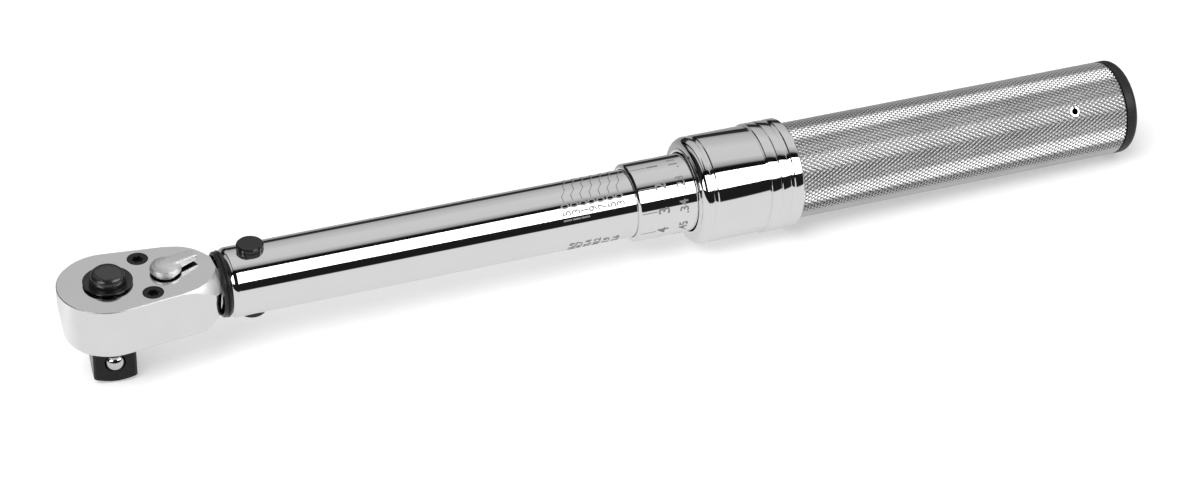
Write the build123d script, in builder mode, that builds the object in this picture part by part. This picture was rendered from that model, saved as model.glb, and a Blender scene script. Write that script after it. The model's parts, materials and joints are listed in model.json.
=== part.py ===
# Micrometer torque wrench with a reversible ratchet head and a 3/8 in square drive.
# Units are millimetres. +X runs from the drive axis to the grip, +Z is up.
# The origin is the centre of the drive square's end face. Heights named *_z are measured
# from the wrench's long axis, which lies drive_drop above the origin.
import os
from math import cos, radians, sin

from build123d import *

os.makedirs("parts", exist_ok=True)

# Fits and clearances
running_gap = 0.08       # radial, shafts and pistons in their bores
press_gap = 0.02         # radial, parts that stay together
free_gap = 0.35          # parts that pass each other
contact_gap = 0.3        # faces that touch in the real wrench, backed off here
cut_over = 0.5           # by which a cut runs out of what it cuts
wire_sides = 8           # round wire is drawn with flats, so that its coils stay light

# Long axis and drive square
drive_drop = 17.1
square_side = 9.525
square_turn = -7.0       # the square's angle about Z, as photographed
square_corner_r = 6.4
square_end_r = 4.9
square_end_step = 0.3
square_end_cone = 0.95
square_flat_r = 4.3

# Ratchet head forging
head_front_r = 11.15
head_rear_x = 17.0
head_rear_r = 9.0
head_top_z = 6.32
head_waist_z = 1.4
head_bottom_z = -6.8
head_draft = 7.0
head_bottom_fillet = 1.6
head_waist_fillet = 18.0
head_top_edge = 0.18
ball_x = 14.5            # the turned rear end: a ball between two cones
ball_r = 10.95
ball_cone = 12.0
ball_tail = 45.0         # where the tail cone leaves the ball, from the wrench's axis
ball_tip_x = 23.6
ball_tip_r = 6.65
former_start_x = -20.0

# Neck and tang, inside the tube
neck_r = 5.8
neck_end_x = 29.0
tang_half_height = 5.0
tang_start_x = 27.0
tang_half_width = 3.9
tang_taper_x = 34.0
tang_end_half_width = 3.3
tang_end_x = 43.5

# Gear and its cavity
gear_teeth = 48
gear_tip_r = 7.6
gear_root_r = 7.2
gear_bottom_z = -5.0
gear_top_z = 4.55
hub_r = 4.9
hub_top_z = 6.62
boss_r = 6.85
cavity_top_z = 4.9
button_bore_r = 4.38
button_floor_z = -2.0
stem_bore_r = 1.68
stem_bore_end_z = -16.0

# Pawl on the lever's shaft
lever_x = 12.9
pawl_boss_r = 3.5
pawl_pad_r = 0.9
pawl_pad_x = 7.5
pawl_pad_y = 3.6
pawl_bottom_z = -4.8
pawl_top_z = 3.6
pawl_swing = 3.2
pawl_tooth_gap = 0.15
pawl_tooth_tip_r = 7.3
pawl_sector_r = 8.1
pawl_sector_from = 18.0
pawl_sector_to = 33.0
pawl_pocket_r = 2.75
pawl_pocket_half = 38.0
pawl_room_r = 4.6
pawl_room_shift = 0.2
pawl_room_half_y = 5.3
pawl_room_x = 6.0
pawl_room_top_z = 4.0

# Reversing lever
lever_angle = 20.0
lever_shaft_r = 1.9
lever_shaft_end_z = -4.8
lever_hub_r = 3.5
lever_hub_bottom_z = head_top_z + contact_gap
lever_hub_edge_z = 7.5
lever_hub_top_z = 8.95
lever_hub_round = 0.9
lever_hub_bevel = 0.3
lever_arm_bottom_z = 6.96
lever_arm_root_z = 8.84
lever_arm_tip_z = 8.16
lever_arm_length = 7.55
lever_arm_root_half = 1.45
lever_arm_tip_half = 1.17
lever_foot_inset = 0.15
lever_foot_length = 6.0
lever_foot_height = 0.85
lever_foot_wall = 0.1
lever_flare_r = 2.6
lever_hole_r = 0.8
lever_hole_depth = 1.2
lever_hole_z = -0.6
lever_edge_fillet = 0.35
lever_coil_r = 0.5
lever_wire_r = 0.13
lever_coils = 3.0
plunger_pin_r = 0.74
plunger_pin_start = 0.6
plunger_pin_end = 2.4

# Cover plate and its screws
plate_front_r = 8.3
plate_rear_x = 11.5
plate_rear_r = 7.2
plate_thick = 1.4
plate_recess = 0.1
plate_gap = 0.05
screw_x = 8.35
screw_y = 6.6
screw_head_r = 2.33
screw_head_height = 1.3
screw_r = 1.0
screw_socket_r = 1.35
screw_socket_depth = 0.9
screw_sink = 0.08

# Release button, washer, spring and ball
washer_r = 5.45
washer_thick = 0.45
washer_edge = 0.35
washer_dish = 0.2
button_r = 3.9
button_travel = 2.0
button_edge_z = 9.2
button_top_z = 9.7
button_round = 1.3
skirt_r = 4.3
skirt_top_z = 6.5
skirt_bottom_z = 2.2
stem_r = 1.6
stem_waist_r = 0.6
stem_end_z = -13.6
stem_cone_z = -12.4
stem_waist_low_z = -11.4
stem_waist_high_z = -8.6
stem_shoulder_z = -7.6
detent_ball_r = 2.2
detent_ball_z = -11.9
detent_ball_centre = 3.95
detent_hole_r = detent_ball_r + 0.12
button_coil_r = 2.9
button_wire_r = 0.28
button_coils = 3.0

# Tube, its mouth and the pivot pin
tube_r = 7.9375
tube_wall = 1.2375
tube_bore_r = tube_r - tube_wall
tube_start_x = 25.8
tube_lip_r = tube_bore_r + 0.45
tube_crown_x = 27.7
tube_crown_mid_x = 26.4
tube_crown_mid_r = tube_r - 0.2375
tube_end_x = 190.0
pivot_x = 32.04
pivot_head_r = 3.05
pivot_head_bottom_z = tube_bore_r + 0.3
pivot_head_top_z = tube_r + 1.6
pivot_groove_low_z = pivot_head_top_z - 1.24
pivot_groove_high_z = pivot_groove_low_z + 0.25
pivot_groove_depth = 0.22
pivot_bevel = 0.28
pivot_r = 2.3
pivot_end_z = -tube_r - 0.06
retainer_top_z = -tube_bore_r - 0.2
retainer_bottom_z = pivot_end_z - 0.9

# Neck seal
seal_room = 0.55         # in front of the seal, for the head's swing
seal_start_x = ball_tip_x + seal_room
seal_bore_r = neck_r + 0.65
seal_r = tube_lip_r + 0.4
seal_front_round = 0.75
seal_groove_x = (25.0, 25.4)
seal_groove_depth = 0.25
seal_plug_end_x = 28.4

# Click mechanism
block_front_x = 44.1
block_hinge_x = 48.6
block_half_width = 2.2
block_half_height = 4.0
piston_start_x = 49.6
piston_end_x = 64.0
piston_guide_x = 70.0
piston_r = tube_bore_r - running_gap
spring_turns = 10.0
spring_wire_wide = 2.0
spring_wire_long = 2.2
spring_mean_r = tube_bore_r - 0.45 - spring_wire_wide / 2
guide_r = spring_mean_r - spring_wire_wide / 2 - free_gap
spring_start_x = 65.2
spring_end_x = 110.7
seat_guide_x = 106.0
seat_start_x = 112.0
seat_end_x = 118.5
thrust_ball_x = 119.6
thrust_ball_r = 2.0
seat_cup_x = thrust_ball_x - 2**0.5 * (thrust_ball_r + press_gap)
screw_cup_x = thrust_ball_x + 2**0.5 * (thrust_ball_r + running_gap)

# Adjusting screw and nut
thread_r = 4.0
screw_start_x = 120.7
thread_end_x = 212.0
shank_r = 3.4
shank_end_x = 244.0
nut_start_x = 176.0
nut_flange_r = tube_r - press_gap
nut_flange_thick = 3.0

# Thimble
thimble_wall = 1.1325
thimble_bore_r = tube_r + running_gap
thimble_r = thimble_bore_r + thimble_wall
thimble_start_x = 121.83
thimble_rim_r = thimble_bore_r + 0.3925
thimble_bevel_x = 123.6
thimble_end_x = 176.0
thimble_mouth = 0.1

# Lock collar, its spring, balls and stop ring
grip_bore_r = thimble_r + press_gap
grip_wall = 2.23
grip_r = grip_bore_r + grip_wall
collar_rear_wall = 1.25
collar_inner_r = grip_r + free_gap
collar_rear_r = collar_inner_r + collar_rear_wall
collar_band_r = collar_rear_r - 0.35
collar_face_r = collar_band_r - 0.3
collar_lip_r = thimble_r + free_gap
collar_lip_edge = 0.15
collar_start_x = 137.1
collar_face_x = 138.15
collar_face_round = 3.1
collar_edge_x = 138.4
front_groove = (139.15, 140.3)
groove_depth = 0.3
groove_slope = 0.15
collar_step_x = 153.3
collar_step_half = 0.12
collar_step_depth = 0.15
ring_line_x = 156.15
ring_line_width = 0.3
ring_line_depth = 0.25
rear_groove = (158.4, 159.5)
collar_end_x = 161.7
collar_end_bevel = 0.2
collar_web_x = 138.6
collar_shoulder_x = 146.7
collar_shoulder_end_x = 148.3
collar_travel = 3.0
lock_ball_r = 1.4
lock_ball_x = 143.4
lock_ball_count = 3
lock_ball_lift = 0.22
lock_ball_centre = tube_r + lock_ball_lift + lock_ball_r
collar_pocket_r = lock_ball_centre + lock_ball_r + free_gap
stop_ring_x = 145.6
stop_ring_thick = 0.8
stop_ring_r = thimble_r + 1.05
stop_ring_depth = 0.35
stop_ring_gap = 40.0
collar_coil_r = (thimble_r + collar_inner_r) / 2
collar_wire_r = 0.45
collar_coils = 3.5

# Grip, plug, roll pin and end cap
grip_start_x = 157.0
grip_end_x = 249.0
grip_front_chamfer = 0.8
grip_rear_chamfer = 0.35
grip_shoulder_x = thimble_end_x + 0.2
grip_inner_r = nut_flange_r + free_gap
plug_start_x = 226.2
plug_inset = 3.0
plug_end_x = grip_end_x - plug_inset
roll_pin_x = 235.07
roll_pin_angle = 39.3    # above the horizontal on the -Y side
roll_pin_r = 1.3
roll_pin_bore_r = 0.8
roll_pin_slit = 0.45
roll_pin_half_length = grip_r - 0.35
cap_start_x = grip_end_x + 0.05
cap_r = grip_r + 0.02
cap_end_x = 252.2
cap_round = 1.6
cap_spigot_r = grip_bore_r - press_gap
cap_spigot_x = plug_end_x + 0.2

# Working planes and axes
wrench_axis = Axis((0, 0, drive_drop), (1, 0, 0))
side = Plane(origin=(0, 0, drive_drop), x_dir=(1, 0, 0), z_dir=(0, -1, 0))
drive_axis = Axis((0, 0, 0), (0, 0, 1))
pivot_side = Plane(origin=(pivot_x, 0, drive_drop), x_dir=(1, 0, 0), z_dir=(0, -1, 0))
pivot_axis = Axis((pivot_x, 0, 0), (0, 0, 1))
lever_axis = Axis((lever_x, 0, 0), (0, 0, 1))
lever_dir = (cos(radians(lever_angle)), sin(radians(lever_angle)), 0)
lever_across = (-lever_dir[1], lever_dir[0], 0)
lever_side_normal = (lever_dir[1], -lever_dir[0], 0)
lever_side = Plane(origin=(lever_x, 0, drive_drop), x_dir=lever_dir, z_dir=lever_side_normal)
roll_dir = (0, -cos(radians(roll_pin_angle)), sin(radians(roll_pin_angle)))
roll_plane = Plane(origin=(roll_pin_x, 0, drive_drop), x_dir=(1, 0, 0), z_dir=roll_dir)

# Gear outline, symmetric about X, used for the gear and to cut the pawl's teeth
pitch_angle = 360.0 / gear_teeth


def gear_points(tip_r, root_r):
    points = []
    for tooth in range(gear_teeth):
        for share, radius in ((0, tip_r), (0.5, root_r)):
            angle = radians((tooth + share) * pitch_angle)
            points.append((radius * cos(angle), radius * sin(angle)))
    return points


# Ratchet head forging with neck and tang
with BuildPart() as head_body:
    with BuildSketch(Plane.XY.offset(drive_drop + head_waist_z)):
        Circle(head_front_r)
        with Locations((head_rear_x, 0)):
            Circle(head_rear_r)
        make_hull()
    extrude(amount=head_top_z - head_waist_z)
    with BuildSketch(Plane.XY.offset(drive_drop + head_waist_z)):
        Circle(head_front_r)
        with Locations((head_rear_x, 0)):
            Circle(head_rear_r)
        make_hull()
    extrude(amount=head_waist_z - head_bottom_z, dir=(0, 0, -1), taper=head_draft)
    waist = head_body.edges().filter_by_position(
        Axis.Z, drive_drop + head_waist_z - 0.01, drive_drop + head_waist_z + 0.01
    )
    fillet(waist, head_waist_fillet)
    fillet(head_body.faces().sort_by(Axis.Z)[0].edges(), head_bottom_fillet)
    chamfer(head_body.faces().sort_by(Axis.Z)[-1].edges(), head_top_edge)
    # the turned rear end cuts the prism
    cone_x = ball_x + ball_r * sin(radians(ball_cone))
    cone_r = ball_r * cos(radians(ball_cone))
    former_r = cone_r + (cone_x - former_start_x) * sin(radians(ball_cone)) / cos(radians(ball_cone))
    tail_x = ball_x + ball_r * cos(radians(ball_tail))
    tail_r = ball_r * sin(radians(ball_tail))
    mid_angle = radians((90 - ball_cone + ball_tail) / 2)
    with BuildSketch(side):
        with BuildLine():
            Polyline(
                (tail_x, tail_r), (ball_tip_x, ball_tip_r), (ball_tip_x, 0), (former_start_x, 0),
                (former_start_x, former_r), (cone_x, cone_r),
            )
            ThreePointArc(
                (cone_x, cone_r),
                (ball_x + ball_r * cos(mid_angle), ball_r * sin(mid_angle)),
                (tail_x, tail_r),
            )
        make_face()
    revolve(axis=wrench_axis, mode=Mode.INTERSECT)
    # neck and tang
    with BuildSketch(Plane.YZ.offset(ball_x)):
        with Locations((0, drive_drop)):
            Circle(neck_r)
    extrude(amount=neck_end_x - ball_x)
    with BuildSketch(Plane.XY.offset(drive_drop - tang_half_height)):
        with BuildLine():
            Polyline(
                (tang_start_x, -tang_half_width), (tang_taper_x, -tang_half_width),
                (tang_end_x, -tang_end_half_width), (tang_end_x, tang_end_half_width),
                (tang_taper_x, tang_half_width), (tang_start_x, tang_half_width), close=True,
            )
        make_face()
    extrude(amount=2 * tang_half_height)
    # pin bore through the tang
    with Locations((pivot_x, 0, drive_drop)):
        Cylinder(pivot_r + running_gap, 4 * tang_half_height, mode=Mode.SUBTRACT)
    # gear cavity, pawl room and cover seat, all open to the underside
    plate_top_z = head_bottom_z + plate_recess + plate_thick
    with BuildSketch(Plane.XY.offset(drive_drop + head_bottom_z - cut_over)):
        Circle(gear_tip_r + free_gap)
    extrude(amount=cavity_top_z - head_bottom_z + cut_over, mode=Mode.SUBTRACT)
    with BuildSketch(Plane.XY.offset(drive_drop + head_bottom_z - cut_over)):
        with Locations((lever_x - pawl_room_shift, 0)):
            Circle(pawl_room_r)
        with Locations(((pawl_room_x + lever_x) / 2, 0)):
            Rectangle(lever_x - pawl_room_x, 2 * pawl_room_half_y)
    extrude(amount=pawl_room_top_z - head_bottom_z + cut_over, mode=Mode.SUBTRACT)
    with BuildSketch(Plane.XY.offset(drive_drop + head_bottom_z - cut_over)):
        Circle(plate_front_r + plate_gap)
        with Locations((plate_rear_x, 0)):
            Circle(plate_rear_r + plate_gap)
        make_hull()
    extrude(amount=plate_top_z - head_bottom_z + cut_over, mode=Mode.SUBTRACT)
    # top openings for the hub and the lever's shaft
    with Locations((0, 0, drive_drop + head_top_z)):
        Cylinder(hub_r + running_gap, 2 * (head_top_z - gear_top_z), mode=Mode.SUBTRACT)
    with Locations((lever_x, 0, drive_drop + head_top_z)):
        Cylinder(lever_shaft_r + running_gap, 2 * (head_top_z - pawl_top_z), mode=Mode.SUBTRACT)
    # screw holes with sunk heads
    with Locations(*[(screw_x, side_y, drive_drop) for side_y in (-screw_y, screw_y)]):
        Cylinder(screw_r + press_gap, 4 * head_top_z, mode=Mode.SUBTRACT)
    with Locations(*[(screw_x, side_y, drive_drop + head_top_z) for side_y in (-screw_y, screw_y)]):
        Cylinder(screw_head_r + press_gap, 2 * (screw_head_height + press_gap), mode=Mode.SUBTRACT)
head_body.part.label = "head_body"

# Cover plate in the underside
with BuildPart() as cover_plate:
    with BuildSketch(Plane.XY.offset(drive_drop + head_bottom_z + plate_recess)):
        Circle(plate_front_r)
        with Locations((plate_rear_x, 0)):
            Circle(plate_rear_r)
        make_hull()
        Circle(boss_r + running_gap, mode=Mode.SUBTRACT)
        with Locations((screw_x, screw_y), (screw_x, -screw_y)):
            Circle(screw_r + press_gap, mode=Mode.SUBTRACT)
    extrude(amount=plate_thick - press_gap)
cover_plate.part.label = "cover_plate"

# Two cover screws, driven from the top
with BuildPart() as cover_screws:
    screw_spots = [(screw_x, -screw_y), (screw_x, screw_y)]
    with BuildSketch(Plane.XY.offset(drive_drop + head_top_z - screw_head_height)):
        with Locations(*screw_spots):
            Circle(screw_head_r)
    extrude(amount=screw_head_height - screw_sink)
    with BuildSketch(Plane.XY.offset(drive_drop + head_bottom_z + plate_recess)):
        with Locations(*screw_spots):
            Circle(screw_r)
    extrude(amount=head_top_z - screw_head_height - head_bottom_z - plate_recess)
    with BuildSketch(Plane.XY.offset(drive_drop + head_top_z - screw_sink)):
        with Locations(*screw_spots):
            RegularPolygon(screw_socket_r, 6)
    extrude(amount=-screw_socket_depth, mode=Mode.SUBTRACT)
cover_screws.part.label = "cover_screws"

# Drive gear with hub, boss and square
with BuildPart() as drive_gear:
    with BuildSketch(Plane.XY.offset(drive_drop + gear_bottom_z)):
        with BuildLine():
            Polyline(*gear_points(gear_tip_r, gear_root_r), close=True)
        make_face()
    extrude(amount=gear_top_z - gear_bottom_z)
    with BuildSketch(Plane.XY.offset(drive_drop + gear_top_z)):
        Circle(hub_r)
    extrude(amount=hub_top_z - gear_top_z)
    with BuildSketch(Plane.XY.offset(drive_drop + gear_bottom_z)):
        Circle(boss_r)
    extrude(amount=head_bottom_z + plate_recess - gear_bottom_z)
    with BuildSketch(Plane.XY.offset(drive_drop + head_bottom_z + plate_recess)):
        Rectangle(square_side, square_side, rotation=square_turn)
        Circle(square_corner_r, mode=Mode.INTERSECT)
    extrude(amount=-(drive_drop + head_bottom_z + plate_recess))
    # turned lead on the square's end
    with BuildSketch(Plane.XZ):
        with BuildLine():
            Polyline(
                (square_flat_r, 0), (square_end_r, square_end_step),
                (square_corner_r + cut_over, square_end_step + square_end_cone),
                (square_corner_r + cut_over, -cut_over), (square_flat_r, -cut_over), close=True,
            )
        make_face()
    revolve(axis=drive_axis, mode=Mode.SUBTRACT)
    # stepped bore for the button
    with BuildSketch(Plane.XY.offset(drive_drop + hub_top_z)):
        Circle(button_bore_r)
    extrude(amount=button_floor_z - hub_top_z, mode=Mode.SUBTRACT)
    with BuildSketch(Plane.XY.offset(drive_drop + hub_top_z)):
        Circle(stem_bore_r)
    extrude(amount=stem_bore_end_z - hub_top_z, mode=Mode.SUBTRACT)
    # ball hole in the square's front face
    ball_dir = (sin(radians(square_turn)), -cos(radians(square_turn)), 0)
    with BuildSketch(Plane(origin=(0, 0, drive_drop + detent_ball_z), z_dir=ball_dir)):
        Circle(detent_hole_r)
    extrude(amount=square_side, mode=Mode.SUBTRACT)
drive_gear.part.label = "drive_gear"

# Washer that holds the button in the hub
with BuildPart() as hub_washer:
    with BuildSketch(side):
        with BuildLine():
            Polyline(
                (button_r + running_gap, hub_top_z), (washer_r - washer_edge, hub_top_z),
                (washer_r, hub_top_z + washer_thick / 3), (washer_r, hub_top_z + 0.8 * washer_thick),
                (washer_r - washer_edge / 2, hub_top_z + washer_thick),
                (button_r + running_gap, hub_top_z + washer_thick - washer_dish), close=True,
            )
        make_face()
    revolve(axis=drive_axis)
hub_washer.part.label = "hub_washer"

# Release button with skirt and necked stem
with BuildPart() as release_button:
    with BuildSketch(side) as button_profile:
        with BuildLine():
            Polyline(
                (0, button_top_z), (0, stem_end_z), (stem_r, stem_end_z), (stem_r, stem_cone_z),
                (stem_waist_r, stem_waist_low_z), (stem_waist_r, stem_waist_high_z),
                (stem_r, stem_shoulder_z), (stem_r, skirt_bottom_z), (skirt_r, skirt_bottom_z),
                (skirt_r, skirt_top_z), (button_r, skirt_top_z), (button_r, button_edge_z),
            )
            button_rise = button_top_z - button_edge_z
            button_dome_r = (button_r**2 + button_rise**2) / (2 * button_rise)
            RadiusArc((button_r, button_edge_z), (0, button_top_z), -button_dome_r)
        make_face()
        fillet(button_profile.vertices().sort_by_distance((button_r, button_edge_z, 0))[0], button_round)
    revolve(axis=drive_axis)
release_button.part.label = "release_button"

# Button spring around the stem
with BuildPart() as button_spring:
    coil_height = skirt_bottom_z - button_floor_z - 2 * button_wire_r - 2 * press_gap
    coil_start_z = drive_drop + button_floor_z + button_wire_r + press_gap
    with BuildLine() as button_path:
        Helix(coil_height / button_coils, coil_height, button_coil_r, center=(0, 0, coil_start_z))
    with BuildSketch(Plane(origin=button_path.line @ 0, z_dir=button_path.line % 0)):
        RegularPolygon(button_wire_r, wire_sides)
    sweep(is_frenet=True)
button_spring.part.label = "button_spring"

# Detent ball in the square
with BuildPart() as detent_ball:
    with Locations((
        detent_ball_centre * ball_dir[0], detent_ball_centre * ball_dir[1], drive_drop + detent_ball_z
    )):
        Sphere(detent_ball_r)
detent_ball.part.label = "detent_ball"

# Double-ended pawl. It is drawn in its own frame, which is swung into mesh about the lever's axis.
pawl_x_dir = (cos(radians(pawl_swing)), sin(radians(pawl_swing)), 0)
pawl_plane = Plane(origin=(lever_x, 0, drive_drop + pawl_bottom_z), x_dir=pawl_x_dir, z_dir=(0, 0, 1))


def in_pawl_frame(x, y, swing):
    turn = radians(-swing)
    along = x - lever_x
    return (along * cos(turn) - y * sin(turn), along * sin(turn) + y * cos(turn))


def polar_in_pawl_frame(radius, degrees_round, swing):
    angle = radians(degrees_round)
    return in_pawl_frame(radius * cos(angle), radius * sin(angle), swing)


with BuildPart() as pawl:
    with BuildSketch(pawl_plane):
        for arm_side in (-1, 1):
            with BuildSketch(mode=Mode.PRIVATE) as arm:
                Circle(pawl_boss_r)
                with Locations((pawl_pad_x - lever_x, arm_side * pawl_pad_y)):
                    Circle(pawl_pad_r)
                make_hull()
            add(arm.sketch)
        with Locations((-lever_x, 0)):
            Circle(gear_tip_r + free_gap, mode=Mode.SUBTRACT)
        for arm_side in (-1, 1):
            swing = arm_side * pawl_swing
            start = arm_side * pawl_sector_from
            middle = arm_side * (pawl_sector_from + pawl_sector_to) / 2
            finish = arm_side * pawl_sector_to
            with BuildLine():
                Line(
                    polar_in_pawl_frame(pawl_tooth_tip_r, start, swing),
                    polar_in_pawl_frame(pawl_sector_r, start, swing),
                )
                ThreePointArc(
                    polar_in_pawl_frame(pawl_sector_r, start, swing),
                    polar_in_pawl_frame(pawl_sector_r, middle, swing),
                    polar_in_pawl_frame(pawl_sector_r, finish, swing),
                )
                Line(
                    polar_in_pawl_frame(pawl_sector_r, finish, swing),
                    polar_in_pawl_frame(pawl_tooth_tip_r, finish, swing),
                )
                ThreePointArc(
                    polar_in_pawl_frame(pawl_tooth_tip_r, finish, swing),
                    polar_in_pawl_frame(pawl_tooth_tip_r, middle, swing),
                    polar_in_pawl_frame(pawl_tooth_tip_r, start, swing),
                )
            make_face()
        # the gear's outline, with clearance, cuts the teeth at both ends
        for swing in (-pawl_swing, pawl_swing):
            with BuildLine():
                outline = gear_points(gear_tip_r + pawl_tooth_gap, gear_root_r + pawl_tooth_gap)
                Polyline(*[in_pawl_frame(x, y, swing) for x, y in outline], close=True)
            make_face(mode=Mode.SUBTRACT)
        Circle(lever_shaft_r + running_gap, mode=Mode.SUBTRACT)
        # pocket for the lever's plunger
        with BuildSketch(mode=Mode.PRIVATE) as pocket:
            Circle(pawl_pocket_r)
            with BuildLine():
                reach = 2 * pawl_pocket_r
                pocket_x = reach * cos(radians(pawl_pocket_half))
                pocket_y = reach * sin(radians(pawl_pocket_half))
                Polyline((0, 0), (pocket_x, -pocket_y), (pocket_x, pocket_y), close=True)
            make_face(mode=Mode.INTERSECT)
        add(pocket.sketch, mode=Mode.SUBTRACT)
    extrude(amount=pawl_top_z - pawl_bottom_z)
pawl.part.label = "pawl"

# Reversing lever with its shaft
with BuildPart() as lever:
    lever_plan = Plane(origin=(lever_x, 0, drive_drop + lever_arm_bottom_z), x_dir=lever_dir, z_dir=(0, 0, 1))
    # rounded foot: the hub's disc flares into the arm
    with BuildSketch(lever_plan) as foot:
        Circle(lever_hub_r - lever_foot_inset)
        with Locations((lever_foot_length / 2, 0)):
            Rectangle(lever_foot_length, 2 * (lever_arm_tip_half - press_gap))
        fillet(foot.vertices().group_by(Axis.X)[-2], lever_flare_r)
    extrude(amount=lever_foot_height)
    fillet(lever.faces().sort_by(Axis.Z)[-1].edges(), lever_foot_height - lever_foot_wall)
    # arm, lofted from the hub's centre to its squared tip
    for along, half_width, top_z in (
        (0, lever_arm_root_half, lever_arm_root_z), (lever_arm_length, lever_arm_tip_half, lever_arm_tip_z)
    ):
        arm_plane = Plane(
            origin=lever_plan.from_local_coords((along, 0, 0)), x_dir=lever_across, z_dir=lever_dir
        )
        with BuildSketch(arm_plane) as arm_section:
            Rectangle(
                2 * half_width, top_z - lever_arm_bottom_z, align=(Align.CENTER, Align.MIN)
            )
            fillet(arm_section.vertices().group_by(Axis.Y)[-1], lever_edge_fillet)
    loft()
    with BuildSketch(lever_side) as hub_profile:
        with BuildLine():
            Polyline(
                (0, lever_hub_top_z), (0, lever_shaft_end_z), (lever_shaft_r, lever_shaft_end_z),
                (lever_shaft_r, lever_hub_bottom_z), (lever_hub_r - lever_hub_bevel, lever_hub_bottom_z),
                (lever_hub_r, lever_hub_bottom_z + lever_hub_bevel), (lever_hub_r, lever_hub_edge_z),
            )
            hub_rise = lever_hub_top_z - lever_hub_edge_z
            hub_dome_r = (lever_hub_r**2 + hub_rise**2) / (2 * hub_rise)
            RadiusArc((lever_hub_r, lever_hub_edge_z), (0, lever_hub_top_z), -hub_dome_r)
        make_face()
        fillet(hub_profile.vertices().sort_by_distance((lever_hub_r, lever_hub_edge_z, 0))[0], lever_hub_round)
    revolve(axis=lever_axis)
    with BuildSketch(Plane(origin=(lever_x, 0, drive_drop + lever_hole_z), z_dir=lever_dir)):
        Circle(lever_hole_r)
    extrude(amount=2 * lever_shaft_r, mode=Mode.SUBTRACT)
    with BuildSketch(Plane(origin=(lever_x, 0, drive_drop + lever_hole_z), z_dir=lever_dir)):
        Circle(lever_hole_r)
    extrude(amount=-lever_hole_depth, mode=Mode.SUBTRACT)
lever.part.label = "lever"

# Plunger and spring inside the lever's shaft
with BuildPart() as lever_plunger:
    with BuildSketch(lever_side):
        with BuildLine():
            tip_start = plunger_pin_end - plunger_pin_r
            Polyline(
                (tip_start, lever_hole_z + plunger_pin_r), (plunger_pin_start, lever_hole_z + plunger_pin_r),
                (plunger_pin_start, lever_hole_z), (plunger_pin_end, lever_hole_z),
            )
            ThreePointArc(
                (plunger_pin_end, lever_hole_z),
                (tip_start + plunger_pin_r * cos(radians(45)), lever_hole_z + plunger_pin_r * sin(radians(45))),
                (tip_start, lever_hole_z + plunger_pin_r),
            )
        make_face()
    revolve(axis=Axis((lever_x, 0, drive_drop + lever_hole_z), lever_dir))
lever_plunger.part.label = "lever_plunger"

with BuildPart() as lever_spring:
    lever_coil_length = lever_hole_depth + plunger_pin_start - 2 * lever_wire_r - 2 * press_gap
    lever_coil_start = lever_hole_depth - lever_wire_r - press_gap
    lever_coil_base = (
        lever_x - lever_coil_start * lever_dir[0], -lever_coil_start * lever_dir[1], drive_drop + lever_hole_z
    )
    with BuildLine() as lever_path:
        Helix(
            lever_coil_length / lever_coils, lever_coil_length, lever_coil_r,
            center=lever_coil_base, direction=lever_dir,
        )
    with BuildSketch(Plane(origin=lever_path.line @ 0, z_dir=lever_path.line % 0)):
        RegularPolygon(lever_wire_r, wire_sides)
    sweep(is_frenet=True)
lever_spring.part.label = "lever_spring"

# Neck seal of black rubber
with BuildPart() as neck_seal:
    with BuildSketch(side):
        with BuildLine():
            Polyline(
                (seal_start_x, seal_bore_r), (seal_start_x, seal_r - seal_front_round),
                (seal_start_x + seal_front_round / 3, seal_r - seal_front_round / 3),
                (seal_start_x + seal_front_round, seal_r), (seal_groove_x[0], seal_r),
                ((seal_groove_x[0] + seal_groove_x[1]) / 2, seal_r - seal_groove_depth),
                (seal_groove_x[1], seal_r), (tube_start_x - press_gap, seal_r),
                (tube_start_x - press_gap, tube_bore_r - press_gap),
                (seal_plug_end_x, tube_bore_r - press_gap), (seal_plug_end_x, seal_bore_r), close=True,
            )
        make_face()
    revolve(axis=wrench_axis)
neck_seal.part.label = "neck_seal"

# Pivot pin and its retaining cap
with BuildPart() as pivot_pin:
    with BuildSketch(pivot_side):
        with BuildLine():
            Polyline(
                (0, pivot_head_top_z), (0, pivot_end_z), (pivot_r, pivot_end_z), (pivot_r, pivot_head_bottom_z),
                (pivot_head_r, pivot_head_bottom_z), (pivot_head_r, pivot_groove_low_z),
                (pivot_head_r - pivot_groove_depth, (pivot_groove_low_z + pivot_groove_high_z) / 2),
                (pivot_head_r, pivot_groove_high_z), (pivot_head_r, pivot_head_top_z - pivot_bevel),
                (pivot_head_r - pivot_bevel, pivot_head_top_z), close=True,
            )
        make_face()
    revolve(axis=pivot_axis)
pivot_pin.part.label = "pivot_pin"

with BuildPart() as pin_retainer:
    with BuildSketch(pivot_side):
        with BuildLine():
            Polyline(
                (0, pivot_end_z - press_gap), (0, retainer_bottom_z),
                (pivot_head_r - pivot_bevel, retainer_bottom_z),
                (pivot_head_r, retainer_bottom_z + pivot_bevel), (pivot_head_r, retainer_top_z),
                (pivot_r + press_gap, retainer_top_z), (pivot_r + press_gap, pivot_end_z - press_gap), close=True,
            )
        make_face()
    revolve(axis=pivot_axis)
pin_retainer.part.label = "pin_retainer"

# Tube with a rolled mouth
with BuildPart() as tube:
    with BuildSketch(side):
        with BuildLine():
            Polyline(
                (tube_crown_x, tube_r), (tube_end_x, tube_r), (tube_end_x, tube_bore_r),
                (tube_start_x, tube_bore_r), (tube_start_x, tube_lip_r),
            )
            ThreePointArc(
                (tube_start_x, tube_lip_r), (tube_crown_mid_x, tube_crown_mid_r), (tube_crown_x, tube_r)
            )
        make_face()
    revolve(axis=wrench_axis)
    with Locations((pivot_x, 0, drive_drop)):
        Cylinder(pivot_head_r + press_gap, 4 * tube_r, mode=Mode.SUBTRACT)
tube.part.label = "tube"

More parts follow.
